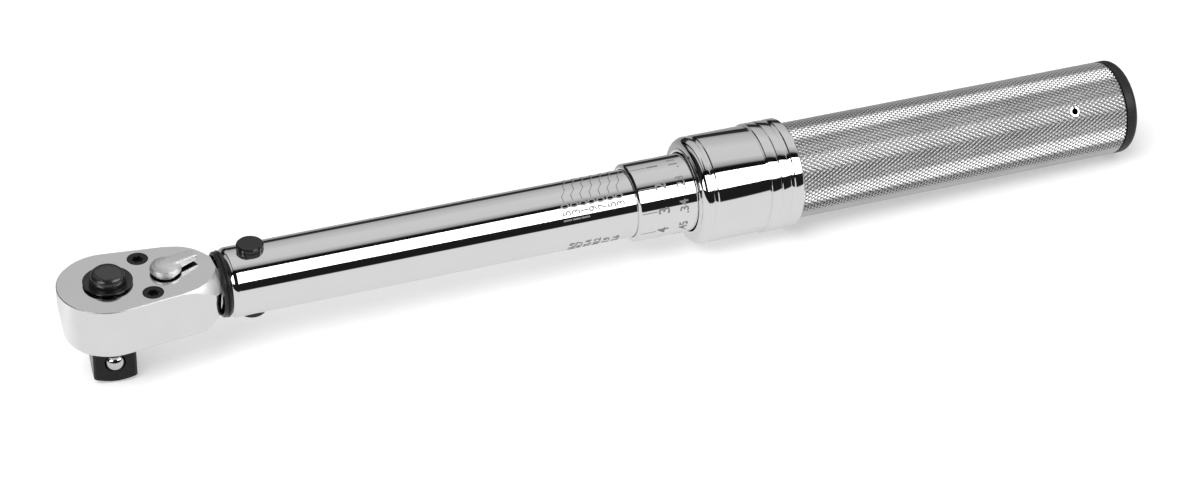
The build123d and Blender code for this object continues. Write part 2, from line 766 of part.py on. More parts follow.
# Tilt block between the tang and the plunger
with BuildPart() as tilt_block:
    with BuildSketch(Plane.XY.offset(drive_drop - block_half_height)):
        with BuildLine():
            Line((block_hinge_x, -block_half_width), (block_front_x, -block_half_width))
            Line((block_front_x, -block_half_width), (block_front_x, block_half_width))
            Line((block_front_x, block_half_width), (block_hinge_x, block_half_width))
            ThreePointArc(
                (block_hinge_x, block_half_width), (block_hinge_x + block_half_width, 0),
                (block_hinge_x, -block_half_width),
            )
        make_face()
    extrude(amount=2 * block_half_height)
tilt_block.part.label = "tilt_block"

# Plunger that holds the block, with a guide for the main spring
with BuildPart() as plunger:
    with BuildSketch(side):
        with BuildLine():
            Polyline(
                (piston_start_x, 0), (piston_start_x, piston_r), (piston_end_x, piston_r),
                (piston_end_x, guide_r), (piston_guide_x, guide_r), (piston_guide_x, 0), close=True,
            )
        make_face()
    revolve(axis=wrench_axis)
    with Locations((block_hinge_x, 0, drive_drop)):
        Cylinder(block_half_width + contact_gap, 4 * piston_r, mode=Mode.SUBTRACT)
plunger.part.label = "plunger"

# Main spring of rectangular wire
with BuildPart() as main_spring:
    spring_length = spring_end_x - spring_start_x
    with BuildLine() as main_path:
        Helix(
            spring_length / spring_turns, spring_length, spring_mean_r,
            center=(spring_start_x, 0, drive_drop), direction=(1, 0, 0),
        )
    start_point = main_path.line @ 0
    outward = (start_point - Vector(spring_start_x, 0, drive_drop)).normalized()
    with BuildSketch(Plane(origin=start_point, x_dir=outward, z_dir=main_path.line % 0)):
        Rectangle(spring_wire_wide, spring_wire_long)
    sweep(is_frenet=True)
main_spring.part.label = "main_spring"

# Spring seat with a cup for the thrust ball
with BuildPart() as spring_seat:
    with BuildSketch(side):
        with BuildLine():
            Polyline(
                (seat_guide_x, 0), (seat_guide_x, guide_r), (seat_start_x, guide_r),
                (seat_start_x, piston_r), (seat_end_x, piston_r), (seat_end_x, seat_end_x - seat_cup_x),
                (seat_cup_x, 0), close=True,
            )
        make_face()
    revolve(axis=wrench_axis)
spring_seat.part.label = "spring_seat"

with BuildPart() as thrust_ball:
    with Locations((thrust_ball_x, 0, drive_drop)):
        Sphere(thrust_ball_r)
thrust_ball.part.label = "thrust_ball"

# Adjusting screw, turned by the grip through the end plug
with BuildPart() as adjusting_screw:
    with BuildSketch(side):
        with BuildLine():
            Polyline(
                (screw_cup_x, 0), (screw_start_x, screw_cup_x - screw_start_x),
                (screw_start_x, shank_r), (screw_start_x + thread_r - shank_r, thread_r),
                (thread_end_x, thread_r), (thread_end_x + thread_r - shank_r, shank_r),
                (shank_end_x, shank_r), (shank_end_x, 0), close=True,
            )
        make_face()
    revolve(axis=wrench_axis)
    with BuildSketch(roll_plane):
        Circle(roll_pin_r + press_gap)
    extrude(amount=2 * shank_r, both=True, mode=Mode.SUBTRACT)
adjusting_screw.part.label = "adjusting_screw"

# Adjusting nut, fixed in the tube's end
with BuildPart() as adjusting_nut:
    with BuildSketch(side):
        with BuildLine():
            Polyline(
                (nut_start_x, thread_r + running_gap), (nut_start_x, tube_bore_r - press_gap),
                (tube_end_x + press_gap, tube_bore_r - press_gap), (tube_end_x + press_gap, nut_flange_r),
                (tube_end_x + nut_flange_thick, nut_flange_r),
                (tube_end_x + nut_flange_thick, thread_r + running_gap), close=True,
            )
        make_face()
    revolve(axis=wrench_axis)
adjusting_nut.part.label = "adjusting_nut"

# Thimble, turning on the tube
with BuildPart() as thimble:
    with BuildSketch(side):
        with BuildLine():
            Polyline(
                (thimble_start_x, thimble_bore_r + thimble_mouth), (thimble_start_x, thimble_rim_r),
                (thimble_bevel_x, thimble_r), (stop_ring_x - press_gap, thimble_r),
                (stop_ring_x - press_gap, thimble_r - stop_ring_depth),
                (stop_ring_x + stop_ring_thick + press_gap, thimble_r - stop_ring_depth),
                (stop_ring_x + stop_ring_thick + press_gap, thimble_r), (thimble_end_x, thimble_r),
                (thimble_end_x, thimble_bore_r), (thimble_start_x + thimble_mouth, thimble_bore_r), close=True,
            )
        make_face()
    revolve(axis=wrench_axis)
    for ball_number in range(lock_ball_count):
        spoke = radians(90 + ball_number * 360 / lock_ball_count)
        with BuildSketch(Plane(origin=(lock_ball_x, 0, drive_drop), z_dir=(0, cos(spoke), sin(spoke)))):
            Circle(lock_ball_r + press_gap)
        extrude(amount=2 * thimble_r, mode=Mode.SUBTRACT)
thimble.part.label = "thimble"

# Lock collar, a chrome sleeve that is pulled back to free the thimble
with BuildPart() as lock_collar:
    with BuildSketch(side):
        with BuildLine():
            Polyline(
                (collar_face_x, collar_face_r), (collar_edge_x, collar_band_r), (front_groove[0], collar_band_r),
                (front_groove[0] + groove_slope, collar_band_r - groove_depth),
                (front_groove[1] - groove_slope, collar_band_r - groove_depth), (front_groove[1], collar_band_r),
                (collar_step_x - collar_step_half, collar_band_r),
                (collar_step_x, collar_band_r - collar_step_depth),
                (collar_step_x + collar_step_half, collar_band_r - collar_step_depth),
                (collar_step_x + 2 * collar_step_half, collar_rear_r),
                (ring_line_x - ring_line_width / 2, collar_rear_r), (ring_line_x, collar_rear_r - ring_line_depth),
                (ring_line_x + ring_line_width / 2, collar_rear_r), (rear_groove[0], collar_rear_r),
                (rear_groove[0] + groove_slope, collar_rear_r - groove_depth),
                (rear_groove[1] - groove_slope, collar_rear_r - groove_depth), (rear_groove[1], collar_rear_r),
                (collar_end_x - collar_end_bevel, collar_rear_r),
                (collar_end_x, collar_rear_r - collar_end_bevel),
                (collar_end_x, collar_inner_r), (collar_shoulder_end_x, collar_inner_r),
                (collar_shoulder_end_x, collar_lip_r), (collar_shoulder_x, collar_lip_r),
                (collar_shoulder_x, collar_pocket_r), (collar_web_x, collar_pocket_r),
                (collar_web_x, collar_lip_r), (collar_start_x, collar_lip_r),
                (collar_start_x, collar_lip_r + collar_lip_edge),
            )
            RadiusArc(
                (collar_start_x, collar_lip_r + collar_lip_edge), (collar_face_x, collar_face_r), collar_face_round
            )
        make_face()
    revolve(axis=wrench_axis)
lock_collar.part.label = "lock_collar"

# Lock balls in the thimble's holes
with BuildPart() as lock_balls:
    for ball_number in range(lock_ball_count):
        spoke = radians(90 + ball_number * 360 / lock_ball_count)
        with Locations((
            lock_ball_x, lock_ball_centre * cos(spoke), drive_drop + lock_ball_centre * sin(spoke)
        )):
            Sphere(lock_ball_r)
lock_balls.part.label = "lock_balls"

# Open stop ring in the thimble's groove
with BuildPart() as stop_ring:
    with BuildSketch(Plane(origin=(stop_ring_x, 0, drive_drop), z_dir=(1, 0, 0))):
        Circle(stop_ring_r)
        Circle(thimble_r - stop_ring_depth + press_gap, mode=Mode.SUBTRACT)
        with BuildLine():
            reach = 2 * stop_ring_r
            gap_x = reach * cos(radians(stop_ring_gap / 2))
            gap_y = reach * sin(radians(stop_ring_gap / 2))
            Polyline((0, 0), (gap_x, -gap_y), (gap_x, gap_y), close=True)
        make_face(mode=Mode.SUBTRACT)
    extrude(amount=stop_ring_thick)
stop_ring.part.label = "stop_ring"

# Collar return spring
with BuildPart() as collar_spring:
    collar_coil_start = collar_shoulder_end_x + collar_wire_r + press_gap
    collar_coil_length = grip_start_x - collar_shoulder_end_x - 2 * collar_wire_r - 2 * press_gap
    with BuildLine() as collar_path:
        Helix(
            collar_coil_length / collar_coils, collar_coil_length, collar_coil_r,
            center=(collar_coil_start, 0, drive_drop), direction=(1, 0, 0),
        )
    with BuildSketch(Plane(origin=collar_path.line @ 0, z_dir=collar_path.line % 0)):
        RegularPolygon(collar_wire_r, wire_sides)
    sweep(is_frenet=True)
collar_spring.part.label = "collar_spring"

# Grip, pressed on the thimble
with BuildPart() as grip:
    with BuildSketch(side):
        with BuildLine():
            Polyline(
                (grip_start_x, grip_bore_r), (grip_start_x, grip_r - grip_front_chamfer),
                (grip_start_x + grip_front_chamfer, grip_r), (grip_end_x - grip_rear_chamfer, grip_r),
                (grip_end_x, grip_r - grip_rear_chamfer), (grip_end_x, grip_bore_r),
                (plug_start_x, grip_bore_r), (plug_start_x, grip_inner_r), (grip_shoulder_x, grip_inner_r),
                (grip_shoulder_x, grip_bore_r), close=True,
            )
        make_face()
    revolve(axis=wrench_axis)
    with BuildSketch(roll_plane):
        Circle(roll_pin_r + press_gap)
    extrude(amount=2 * grip_r, both=True, mode=Mode.SUBTRACT)
grip.part.label = "grip"

# End plug that ties the screw to the grip
with BuildPart() as end_plug:
    with BuildSketch(side):
        with BuildLine():
            Polyline(
                (plug_start_x + press_gap, shank_r + press_gap),
                (plug_start_x + press_gap, grip_bore_r - press_gap),
                (plug_end_x, grip_bore_r - press_gap), (plug_end_x, shank_r + press_gap), close=True,
            )
        make_face()
    revolve(axis=wrench_axis)
    with BuildSketch(roll_plane):
        Circle(roll_pin_r + press_gap)
    extrude(amount=2 * grip_r, both=True, mode=Mode.SUBTRACT)
end_plug.part.label = "end_plug"

# Slit roll pin through grip, plug and screw
with BuildPart() as roll_pin:
    with BuildSketch(roll_plane.offset(-roll_pin_half_length)):
        Circle(roll_pin_r)
        Circle(roll_pin_bore_r, mode=Mode.SUBTRACT)
        with Locations((0, roll_pin_r)):
            Rectangle(roll_pin_slit, 2 * roll_pin_r, mode=Mode.SUBTRACT)
    extrude(amount=2 * roll_pin_half_length)
roll_pin.part.label = "roll_pin"

# End cap of black plastic
with BuildPart() as end_cap:
    with BuildSketch(side):
        with BuildLine():
            Polyline(
                (cap_end_x, cap_r - cap_round), (cap_end_x, 0), (cap_spigot_x, 0),
                (cap_spigot_x, cap_spigot_r), (cap_start_x, cap_spigot_r), (cap_start_x, cap_r),
                (cap_end_x - cap_round, cap_r),
            )
            RadiusArc((cap_end_x - cap_round, cap_r), (cap_end_x, cap_r - cap_round), cap_round)
        make_face()
    revolve(axis=wrench_axis)
end_cap.part.label = "end_cap"

# Parts written out, one solid or group of like solids to a file
for piece in (
    head_body, cover_plate, cover_screws, drive_gear, hub_washer, release_button, button_spring,
    detent_ball, pawl, lever, lever_plunger, lever_spring, neck_seal, pivot_pin, pin_retainer,
    tube, tilt_block, plunger, main_spring, spring_seat, thrust_ball, adjusting_screw,
    adjusting_nut, thimble, lock_collar, lock_balls, stop_ring, collar_spring, grip, end_plug,
    roll_pin, end_cap,
):
    export_step(piece.part, f"parts/{piece.part.label}.step")
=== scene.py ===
"""Looks of a micrometer torque wrench: knurled grip, scale, ratchet head and chrome finishes."""
import json
from math import cos, hypot, pi, radians, sin

import bmesh
import bpy
from bpy.props import FloatProperty, FloatVectorProperty, IntProperty, PointerProperty
from mathutils import Matrix, Vector


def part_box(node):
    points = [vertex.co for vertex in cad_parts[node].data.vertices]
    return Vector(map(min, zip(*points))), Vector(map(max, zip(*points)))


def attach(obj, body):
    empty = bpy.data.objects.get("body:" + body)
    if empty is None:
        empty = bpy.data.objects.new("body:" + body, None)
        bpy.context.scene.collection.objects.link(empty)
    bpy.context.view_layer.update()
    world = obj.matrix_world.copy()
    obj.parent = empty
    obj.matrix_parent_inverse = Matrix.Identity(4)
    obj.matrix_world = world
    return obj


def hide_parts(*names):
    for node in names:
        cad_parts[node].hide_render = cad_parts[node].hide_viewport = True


bl_info = {
    "name": "Micrometer torque wrench",
    "version": (1, 0, 0),
    "blender": (4, 5, 0),
    "location": "View3D > Sidebar > Torque Wrench",
    "description": "Builds the looks of a micrometer torque wrench around its packed parts",
    "category": "Object",
}

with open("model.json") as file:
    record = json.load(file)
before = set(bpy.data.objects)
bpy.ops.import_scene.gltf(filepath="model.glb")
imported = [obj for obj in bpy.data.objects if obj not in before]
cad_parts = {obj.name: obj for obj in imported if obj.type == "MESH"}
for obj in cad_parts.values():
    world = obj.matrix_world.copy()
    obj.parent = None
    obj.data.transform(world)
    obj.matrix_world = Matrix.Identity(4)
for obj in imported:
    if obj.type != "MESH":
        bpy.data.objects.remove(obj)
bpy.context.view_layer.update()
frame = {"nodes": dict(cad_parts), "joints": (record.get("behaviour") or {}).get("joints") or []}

MM = 0.001
WHOLE_TURN = 2 * pi
WHITE = (1.0, 1.0, 1.0, 1.0)
CUT_TOLERANCE = 0.0001 * MM


def highest(node):
    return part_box(node)[1]


def lowest(node):
    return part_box(node)[0]


def joint_place(name):
    return next(joint["pos_m"] for joint in frame["joints"] if joint["name"] == name)


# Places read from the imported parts, in metres
axis_z = joint_place("handle_turn")[2]
tube_r = highest("tube").y
thimble_r = highest("thimble").y
grip_r = highest("grip").y
wrench_axis = Vector((0, 0, axis_z))
along_x = Vector((1, 0, 0))
upwards = Vector((0, 0, 1))
roll_pin_turn = 39.3  # degrees above the horizontal on the -Y side


# Settings that a user would change

class StageSettings(bpy.types.PropertyGroup):
    floor_size: FloatProperty(name="Floor size", description="Side of the square floor", default=3.0, unit="LENGTH")
    floor_drop: FloatProperty(
        name="Floor drop", description="Fall of the floor from the collar to the drive square", default=0.0041,
        unit="LENGTH")
    floor_white: FloatProperty(
        name="Floor white", description="Brightness of the floor as the camera sees it", default=3.6, min=0.0)
    floor_shadow: FloatProperty(
        name="Shadow share", description="How much of the floor's own shading the camera sees", default=0.9,
        min=0.0, max=1.0, subtype="FACTOR")
    lens: FloatProperty(name="Lens", description="Focal length on a 36 mm sensor", default=90.0, unit="CAMERA")
    daylight: FloatProperty(
        name="Even light", description="Level of the even light on matt surfaces", default=0.62, min=0.0)
    key_level: FloatProperty(
        name="Key light", description="Level of the soft lamp that casts the shadow", default=1.9, min=0.0)
    strip_level: FloatProperty(
        name="Strips", description="Brightness of the strips that the chrome reflects", default=3.0, min=0.0)


class FinishSettings(bpy.types.PropertyGroup):
    chrome: FloatVectorProperty(
        name="Chrome", description="Colour of the polished chrome", default=(0.89, 0.89, 0.892), subtype="COLOR")
    satin: FloatVectorProperty(
        name="Satin chrome", description="Colour of the head's plating", default=(0.9, 0.9, 0.902), subtype="COLOR")
    cast: FloatVectorProperty(
        name="Cast lever", description="Colour of the cast and plated lever", default=(0.93, 0.93, 0.93),
        subtype="COLOR")
    black: FloatVectorProperty(
        name="Black steel", description="Colour of the glossy black parts", default=(0.0075, 0.007, 0.0085),
        subtype="COLOR")
    rubber: FloatVectorProperty(
        name="Rubber", description="Colour of the neck seal", default=(0.012, 0.0115, 0.0135), subtype="COLOR")


class KnurlSettings(bpy.types.PropertyGroup):
    pad_length: FloatProperty(
        name="Diamond length", description="Length of a knurl diamond along the grip", default=0.0016, unit="LENGTH")
    around: IntProperty(name="Diamonds around", description="Knurl diamonds in one ring", default=72, min=12)
    depth: FloatProperty(name="Depth", description="Depth of the knurl's grooves", default=0.00028, unit="LENGTH")
    top_share: FloatProperty(
        name="Flat share", description="Share of a diamond's width that stays flat", default=0.4, min=0.05, max=0.9,
        subtype="FACTOR")


class ScaleSettings(bpy.types.PropertyGroup):
    line_pitch: FloatProperty(
        name="Line pitch", description="Distance between the torque lines on the tube", default=0.002235,
        unit="LENGTH")
    line_width: FloatProperty(name="Line width", description="Width of a scale line", default=0.0002, unit="LENGTH")
    proud: FloatProperty(
        name="Mark height", description="How far the marks stand out of the chrome", default=0.000012, unit="LENGTH")


# Shape helpers

def polar(x, radius, angle):
    """A point around the wrench axis. Angles start at the -Y side and rise to the top."""
    return Vector((x, -radius * cos(angle), axis_z + radius * sin(angle)))


def wrap(mesh, radius):
    """Bends a flat layout of x, arc length and height round the wrench axis."""
    for vert in mesh.verts:
        x, arc, height = vert.co
        vert.co = polar(x, radius + height, arc / radius)


def everything(mesh):
    return mesh.verts[:] + mesh.edges[:] + mesh.faces[:]


def verts_among(parts):
    return [part for part in parts if isinstance(part, bmesh.types.BMVert)]


def grow(mesh, edges, place):
    """Extrudes an edge ring and sets each new vertex. Gives the new ring."""
    made = bmesh.ops.extrude_edge_only(mesh, edges=edges)["geom"]
    for vert in verts_among(made):
        vert.co = place(vert.co)
    return [edge for edge in made if isinstance(edge, bmesh.types.BMEdge)]


def copy_moved(mesh, parts, way):
    """Copies some parts of a mesh and moves the copy."""
    copied = bmesh.ops.duplicate(mesh, geom=parts)["geom"]
    bmesh.ops.translate(mesh, vec=way, verts=verts_among(copied))


def turned(profile, steps, centre, axis):
    """Spins a closed profile into a solid ring or a solid of revolution."""
    seam_gap = 0.002 * MM
    mesh = bmesh.new()
    corners = [mesh.verts.new(point) for point in profile]
    edges = [mesh.edges.new(pair) for pair in zip(corners, corners[1:] + corners[:1])]
    bmesh.ops.spin(
        mesh, geom=corners + edges, cent=centre, axis=axis, angle=WHOLE_TURN, steps=steps, use_merge=True)
    bmesh.ops.remove_doubles(mesh, verts=mesh.verts, dist=seam_gap)
    bmesh.ops.delete(mesh, geom=[edge for edge in mesh.edges if edge.is_wire], context="EDGES")
    bmesh.ops.recalc_face_normals(mesh, faces=mesh.faces)
    return mesh


def turned_on_wrench(points, steps=128):
    """Turns a profile of places and radii, in millimetres, about the wrench axis."""
    profile = [Vector((x * MM, 0.0, axis_z + radius * MM)) for x, radius in points]
    return turned(profile, steps, wrench_axis, along_x)


def ring_edges(mesh, places=None):
    """The sharp edges round a turned part, all of them or those at some places along it, in millimetres."""
    flat_gap, place_gap, least_fold = 0.001 * MM, 0.01 * MM, radians(15.0)
    rings = []
    for edge in mesh.edges:
        first, second = (vert.co.x for vert in edge.verts)
        level = abs(first - second) < flat_gap and edge.calc_face_angle(0.0) > least_fold
        if level and (places is None or any(abs(first - place * MM) < place_gap for place in places)):
            rings.append(edge)
    return rings


def beyond(edges, radius):
    """Those of the edges that lie further from the wrench axis than a radius in millimetres."""
    return [edge for edge in edges if hypot(edge.verts[0].co.y, edge.verts[0].co.z - axis_z) > radius * MM]


def soften(mesh, edges, offset, segments=2):
    """Rounds edges."""
    bmesh.ops.bevel(
        mesh, geom=edges, offset=offset, offset_type="OFFSET", segments=segments, profile=0.5, affect="EDGES",
        clamp_overlap=True, material=-1)


def link_mesh(name, mesh, material):
    """Turns a bmesh into an object of the scene."""
    data = bpy.data.meshes.new(name)
    mesh.to_mesh(data)
    mesh.free()
    data.materials.append(material)
    made = bpy.data.objects.new(name, data)
    bpy.context.scene.collection.objects.link(made)
    return made


def finish_piece(name, mesh, finish, body, replaced=(), crease=30.0):
    """Turns a bmesh into a piece that rides on a body. Folds over the crease, in degrees, stay sharp."""
    piece = link_mesh(name, mesh, finish_of(finish))
    piece.data.shade_smooth()
    piece.data.set_sharp_from_angle(angle=radians(crease))
    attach(piece, body)
    if replaced:
        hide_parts(*replaced)


# Material helpers

def add_node(tree, kind, inputs=None, **settings):
    made = tree.nodes.new(kind)
    for name, value in settings.items():
        setattr(made, name, value)
    for key, value in (inputs or {}).items():
        if isinstance(value, bpy.types.NodeSocket):
            tree.links.new(value, made.inputs[key])
        else:
            made.inputs[key].default_value = value
    return made


def ramp(tree, value, stops):
    """A colour ramp over a value. Each stop is a place and a level or colour."""
    made = add_node(tree, "ShaderNodeValToRGB", {"Fac": value})
    elements = made.color_ramp.elements
    while len(elements) < len(stops):
        elements.new(0.5)
    for element, (place, level) in zip(elements, stops):
        element.position = place
        colour = (level, level, level) if isinstance(level, float) else level
        element.color = (*colour, 1.0)
    return made.outputs["Color"]


def share_between(tree, value, low, high, least=0.0):
    """Maps a value between two limits to a share from the least to 1."""
    made = add_node(
        tree, "ShaderNodeMapRange",
        {"Value": value, "From Min": low, "From Max": high, "To Min": least, "To Max": 1.0})
    return made.outputs[0]


def multiplied(tree, first, second):
    made = add_node(
        tree, "ShaderNodeMixRGB", {"Fac": 1.0, "Color1": first, "Color2": second}, blend_type="MULTIPLY")
    return made.outputs["Color"]


def parted(tree, output):
    """The X, Y and Z of one of the texture coordinates."""
    place = add_node(tree, "ShaderNodeTexCoord")
    return add_node(tree, "ShaderNodeSeparateXYZ", {"Vector": place.outputs[output]}).outputs


def finish_name(name):
    return name + "_finish"


def surface(name, sockets):
    """A new material with its shader's plain sockets set. Gives material, tree and shader."""
    material = bpy.data.materials.new(finish_name(name))
    material.use_nodes = True
    tree = material.node_tree
    shader = tree.nodes["Principled BSDF"]
    for key, value in sockets.items():
        shader.inputs[key].default_value = value
    return material, tree, shader


def pattern(tree, scale, stretch=(1.0, 1.0, 1.0), detail=3.0):
    """Noise on object coordinates, in cycles a metre, stretched along the axes."""
    place = add_node(tree, "ShaderNodeTexCoord")
    mapped = add_node(
        tree, "ShaderNodeMapping", {"Vector": place.outputs["Object"], "Scale": stretch})
    noise = add_node(
        tree, "ShaderNodeTexNoise",
        {"Vector": mapped.outputs["Vector"], "Scale": scale, "Detail": detail})
    return noise.outputs["Fac"]


def vary(tree, value, low, high):
    """Spreads a pattern over two colours or two levels."""
    noise_low, noise_high = 0.3, 0.7
    return ramp(tree, value, [(noise_low, low), (noise_high, high)])


def roughen(tree, shader, value, strength, distance):
    """Feeds a pattern into the shader's bump."""
    bump = add_node(
        tree, "ShaderNodeBump", {"Height": value, "Strength": strength, "Distance": distance})
    tree.links.new(bump.outputs["Normal"], shader.inputs["Normal"])


def shade(colour, factor):
    return tuple(channel * factor for channel in colour)


# Finishes

# Roughness of the head by how far a face looks up, from the walls at 0 to the top at 1
satin_roughness = [(0.0, 0.12), (0.08, 0.12), (0.2, 0.5), (0.94, 0.42), (0.99, 0.06)]


def polished_chrome(settings):
    material, tree, shader = surface("polished_chrome", {"Metallic": 1.0})
    cloud = pattern(tree, 60.0)
    hair = pattern(tree, 2500.0, (0.02, 1.0, 1.0))
    tree.links.new(vary(tree, cloud, shade(settings.chrome, 0.985), tuple(settings.chrome)),
                   shader.inputs["Base Color"])
    tree.links.new(vary(tree, hair, 0.03, 0.05), shader.inputs["Roughness"])
    roughen(tree, shader, hair, 0.02, 0.00001)
    return material


def knurl_chrome(settings):
    material, tree, shader = surface("knurl_chrome", {"Metallic": 1.0})
    cloud = pattern(tree, 90.0)
    grain = pattern(tree, 5000.0)
    tree.links.new(vary(tree, cloud, shade(settings.chrome, 0.58), shade(settings.chrome, 0.66)),
                   shader.inputs["Base Color"])
    tree.links.new(vary(tree, grain, 0.18, 0.24), shader.inputs["Roughness"])
    roughen(tree, shader, grain, 0.08, 0.00001)
    return material


def satin_chrome(settings):
    """Lapped to a mirror on top, buffed on the walls and duller on the slopes between them."""
    material, tree, shader = surface("satin_chrome", {"Metallic": 1.0})
    cloud = pattern(tree, 120.0)
    tree.links.new(vary(tree, cloud, shade(settings.satin, 0.975), tuple(settings.satin)),
                   shader.inputs["Base Color"])
    tree.links.new(ramp(tree, parted(tree, "Normal")["Z"], satin_roughness), shader.inputs["Roughness"])
    roughen(tree, shader, pattern(tree, 4000.0), 0.02, 0.00001)
    return material


def cast_plating(settings):
    """Soft cast plating, with painted shade on the faces that look down."""
    material, tree, shader = surface("cast_plating", {"Metallic": 1.0})
    grain = pattern(tree, 3200.0, detail=4.0)
    plating = vary(tree, grain, shade(settings.cast, 0.95), tuple(settings.cast))
    # Painted shade: the plating colour falls to 2 % on faces that look down, under the arm and the hub, so they and
    # their reflection in the head read dark.
    painted_shade_share = share_between(tree, parted(tree, "Normal")["Z"], -0.9, -0.4, 0.02)
    tree.links.new(multiplied(tree, plating, painted_shade_share), shader.inputs["Base Color"])
    tree.links.new(vary(tree, grain, 0.5, 0.56), shader.inputs["Roughness"])
    roughen(tree, shader, grain, 0.08, 0.00002)
    return material


def gloss_black(settings):
    material, tree, shader = surface("gloss_black", {"Metallic": 0.0, "IOR": 1.48})
    cloud = pattern(tree, 700.0)
    tree.links.new(vary(tree, cloud, tuple(settings.black), shade(settings.black, 1.5)), shader.inputs["Base Color"])
    tree.links.new(vary(tree, cloud, 0.1, 0.16), shader.inputs["Roughness"])
    roughen(tree, shader, pattern(tree, 6000.0), 0.03, 0.00001)
    return material


def button_black(settings):
    """Black plating, tumbled soft on the button's dome."""
    material, tree, shader = surface("button_black", {"Metallic": 0.0, "IOR": 1.8})
    cloud = pattern(tree, 500.0)
    tree.links.new(vary(tree, cloud, tuple(settings.black), shade(settings.black, 1.4)), shader.inputs["Base Color"])
    tree.links.new(vary(tree, cloud, 0.24, 0.3), shader.inputs["Roughness"])
    roughen(tree, shader, pattern(tree, 6000.0), 0.03, 0.00001)
    return material


def black_oxide(settings):
    material, tree, shader = surface("black_oxide", {"Metallic": 0.0, "IOR": 1.38})
    cloud = pattern(tree, 500.0, detail=5.0)
    tree.links.new(vary(tree, cloud, (0.004, 0.0038, 0.0046), (0.008, 0.0076, 0.009)), shader.inputs["Base Color"])
    tree.links.new(vary(tree, cloud, 0.2, 0.3), shader.inputs["Roughness"])
    roughen(tree, shader, pattern(tree, 5000.0), 0.08, 0.00001)
    return material


def ground_steel(settings):
    material, tree, shader = surface("ground_steel", {"Metallic": 1.0})
    cloud = pattern(tree, 900.0)
    tree.links.new(vary(tree, cloud, (0.66, 0.66, 0.67), (0.74, 0.74, 0.75)), shader.inputs["Base Color"])
    tree.links.new(vary(tree, cloud, 0.05, 0.09), shader.inputs["Roughness"])
    return material


def spring_wire(settings):
    material, tree, shader = surface("spring_wire", {"Metallic": 1.0})
    streak = pattern(tree, 1500.0, (1.0, 0.2, 0.2))
    tree.links.new(vary(tree, streak, (0.28, 0.28, 0.3), (0.4, 0.4, 0.42)), shader.inputs["Base Color"])
    tree.links.new(vary(tree, streak, 0.25, 0.4), shader.inputs["Roughness"])
    return material


def nut_brass(settings):
    material, tree, shader = surface("nut_brass", {"Metallic": 1.0})
    streak = pattern(tree, 1800.0, (0.3, 1.0, 1.0))
    tree.links.new(vary(tree, streak, (0.62, 0.45, 0.2), (0.75, 0.57, 0.3)), shader.inputs["Base Color"])
    tree.links.new(vary(tree, streak, 0.2, 0.34), shader.inputs["Roughness"])
    return material


def neck_rubber(settings):
    material, tree, shader = surface("neck_rubber", {"Metallic": 0.0, "Specular IOR Level": 0.3})
    grain = pattern(tree, 3500.0)
    tree.links.new(vary(tree, grain, tuple(settings.rubber), shade(settings.rubber, 1.6)),
                   shader.inputs["Base Color"])
    tree.links.new(vary(tree, grain, 0.22, 0.3), shader.inputs["Roughness"])
    roughen(tree, shader, grain, 0.06, 0.00002)
    return material


def cap_plastic(settings):
    material, tree, shader = surface("cap_plastic", {"Metallic": 0.0, "Specular IOR Level": 0.4})
    grain = pattern(tree, 4200.0)
    tree.links.new(vary(tree, grain, (0.006, 0.006, 0.0065), (0.011, 0.011, 0.012)), shader.inputs["Base Color"])
    tree.links.new(vary(tree, grain, 0.38, 0.5), shader.inputs["Roughness"])
    roughen(tree, shader, grain, 0.2, 0.00002)
    return material


def engraved_marks(settings):
    material, tree, shader = surface("engraved_marks", {"Metallic": 0.3})
    grain = pattern(tree, 9000.0)
    tree.links.new(vary(tree, grain, (0.2, 0.2, 0.203), (0.28, 0.28, 0.283)), shader.inputs["Base Color"])
    tree.links.new(vary(tree, grain, 0.45, 0.55), shader.inputs["Roughness"])
    roughen(tree, shader, grain, 0.2, 0.00001)
    return material


finish_makers = (
    polished_chrome, knurl_chrome, satin_chrome, cast_plating, gloss_black, button_black, black_oxide, ground_steel,
    spring_wire, nut_brass, neck_rubber, cap_plastic, engraved_marks,
)
node_finishes = {
    "satin_chrome": ("head_body", "cover_plate"),
    "polished_chrome": ("tube", "thimble", "lock_collar", "grip"),
    "cast_plating": ("lever",),
    "gloss_black": ("pivot_pin", "pin_retainer", "hub_washer"),
    "button_black": ("release_button",),
    "black_oxide": ("drive_gear", "pawl", "tilt_block", "cover_screws"),
    "ground_steel": ("detent_ball", "lock_balls", "thrust_ball", "lever_plunger", "plunger", "spring_seat",
                     "adjusting_screw", "end_plug", "roll_pin"),
    "spring_wire": ("main_spring", "button_spring", "lever_spring", "collar_spring", "stop_ring"),
    "nut_brass": ("adjusting_nut",),
    "neck_rubber": ("neck_seal",),
    "cap_plastic": ("end_cap",),
}


def finish_of(name):
    return bpy.data.materials[finish_name(name)]


class WRENCH_OT_finishes(bpy.types.Operator):
    """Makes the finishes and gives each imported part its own"""
    bl_idname = "torque_wrench.finishes"
    bl_label = "Finishes"

    def execute(self, context):
        settings = context.scene.wrench_finish
        for maker in finish_makers:
            maker(settings)
        for name, nodes in node_finishes.items():
            for node in nodes:
                part = frame["nodes"][node]
                part.data.materials.clear()
                part.data.materials.append(finish_of(name))
        return {"FINISHED"}


# Camera, floor and light

camera_place = (-0.112696, -0.522737, 0.408867)
camera_turn = (54.90469, -2.13247, -22.12316)
sensor_width = 36.0
# Levels round the wrench axis, in degrees: 0 is the front, 90 above, 180 behind.
card_levels = [
    (-180.0, 0.08), (-150.0, 0.3), (-120.0, 0.75), (-40.0, 0.74), (0.0, 0.72), (1.5, 0.012), (62.0, 0.012),
    (62.01, 0.0),
]
roof_levels = [
    (62.0, 0.0), (70.5, 0.012), (74.0, 0.34), (78.0, 0.46), (86.0, 0.64), (117.0, 0.66), (130.0, 0.58), (150.0, 0.5),
    (159.0, 0.4), (163.0, 0.03), (177.0, 0.02), (180.0, 0.06),
]
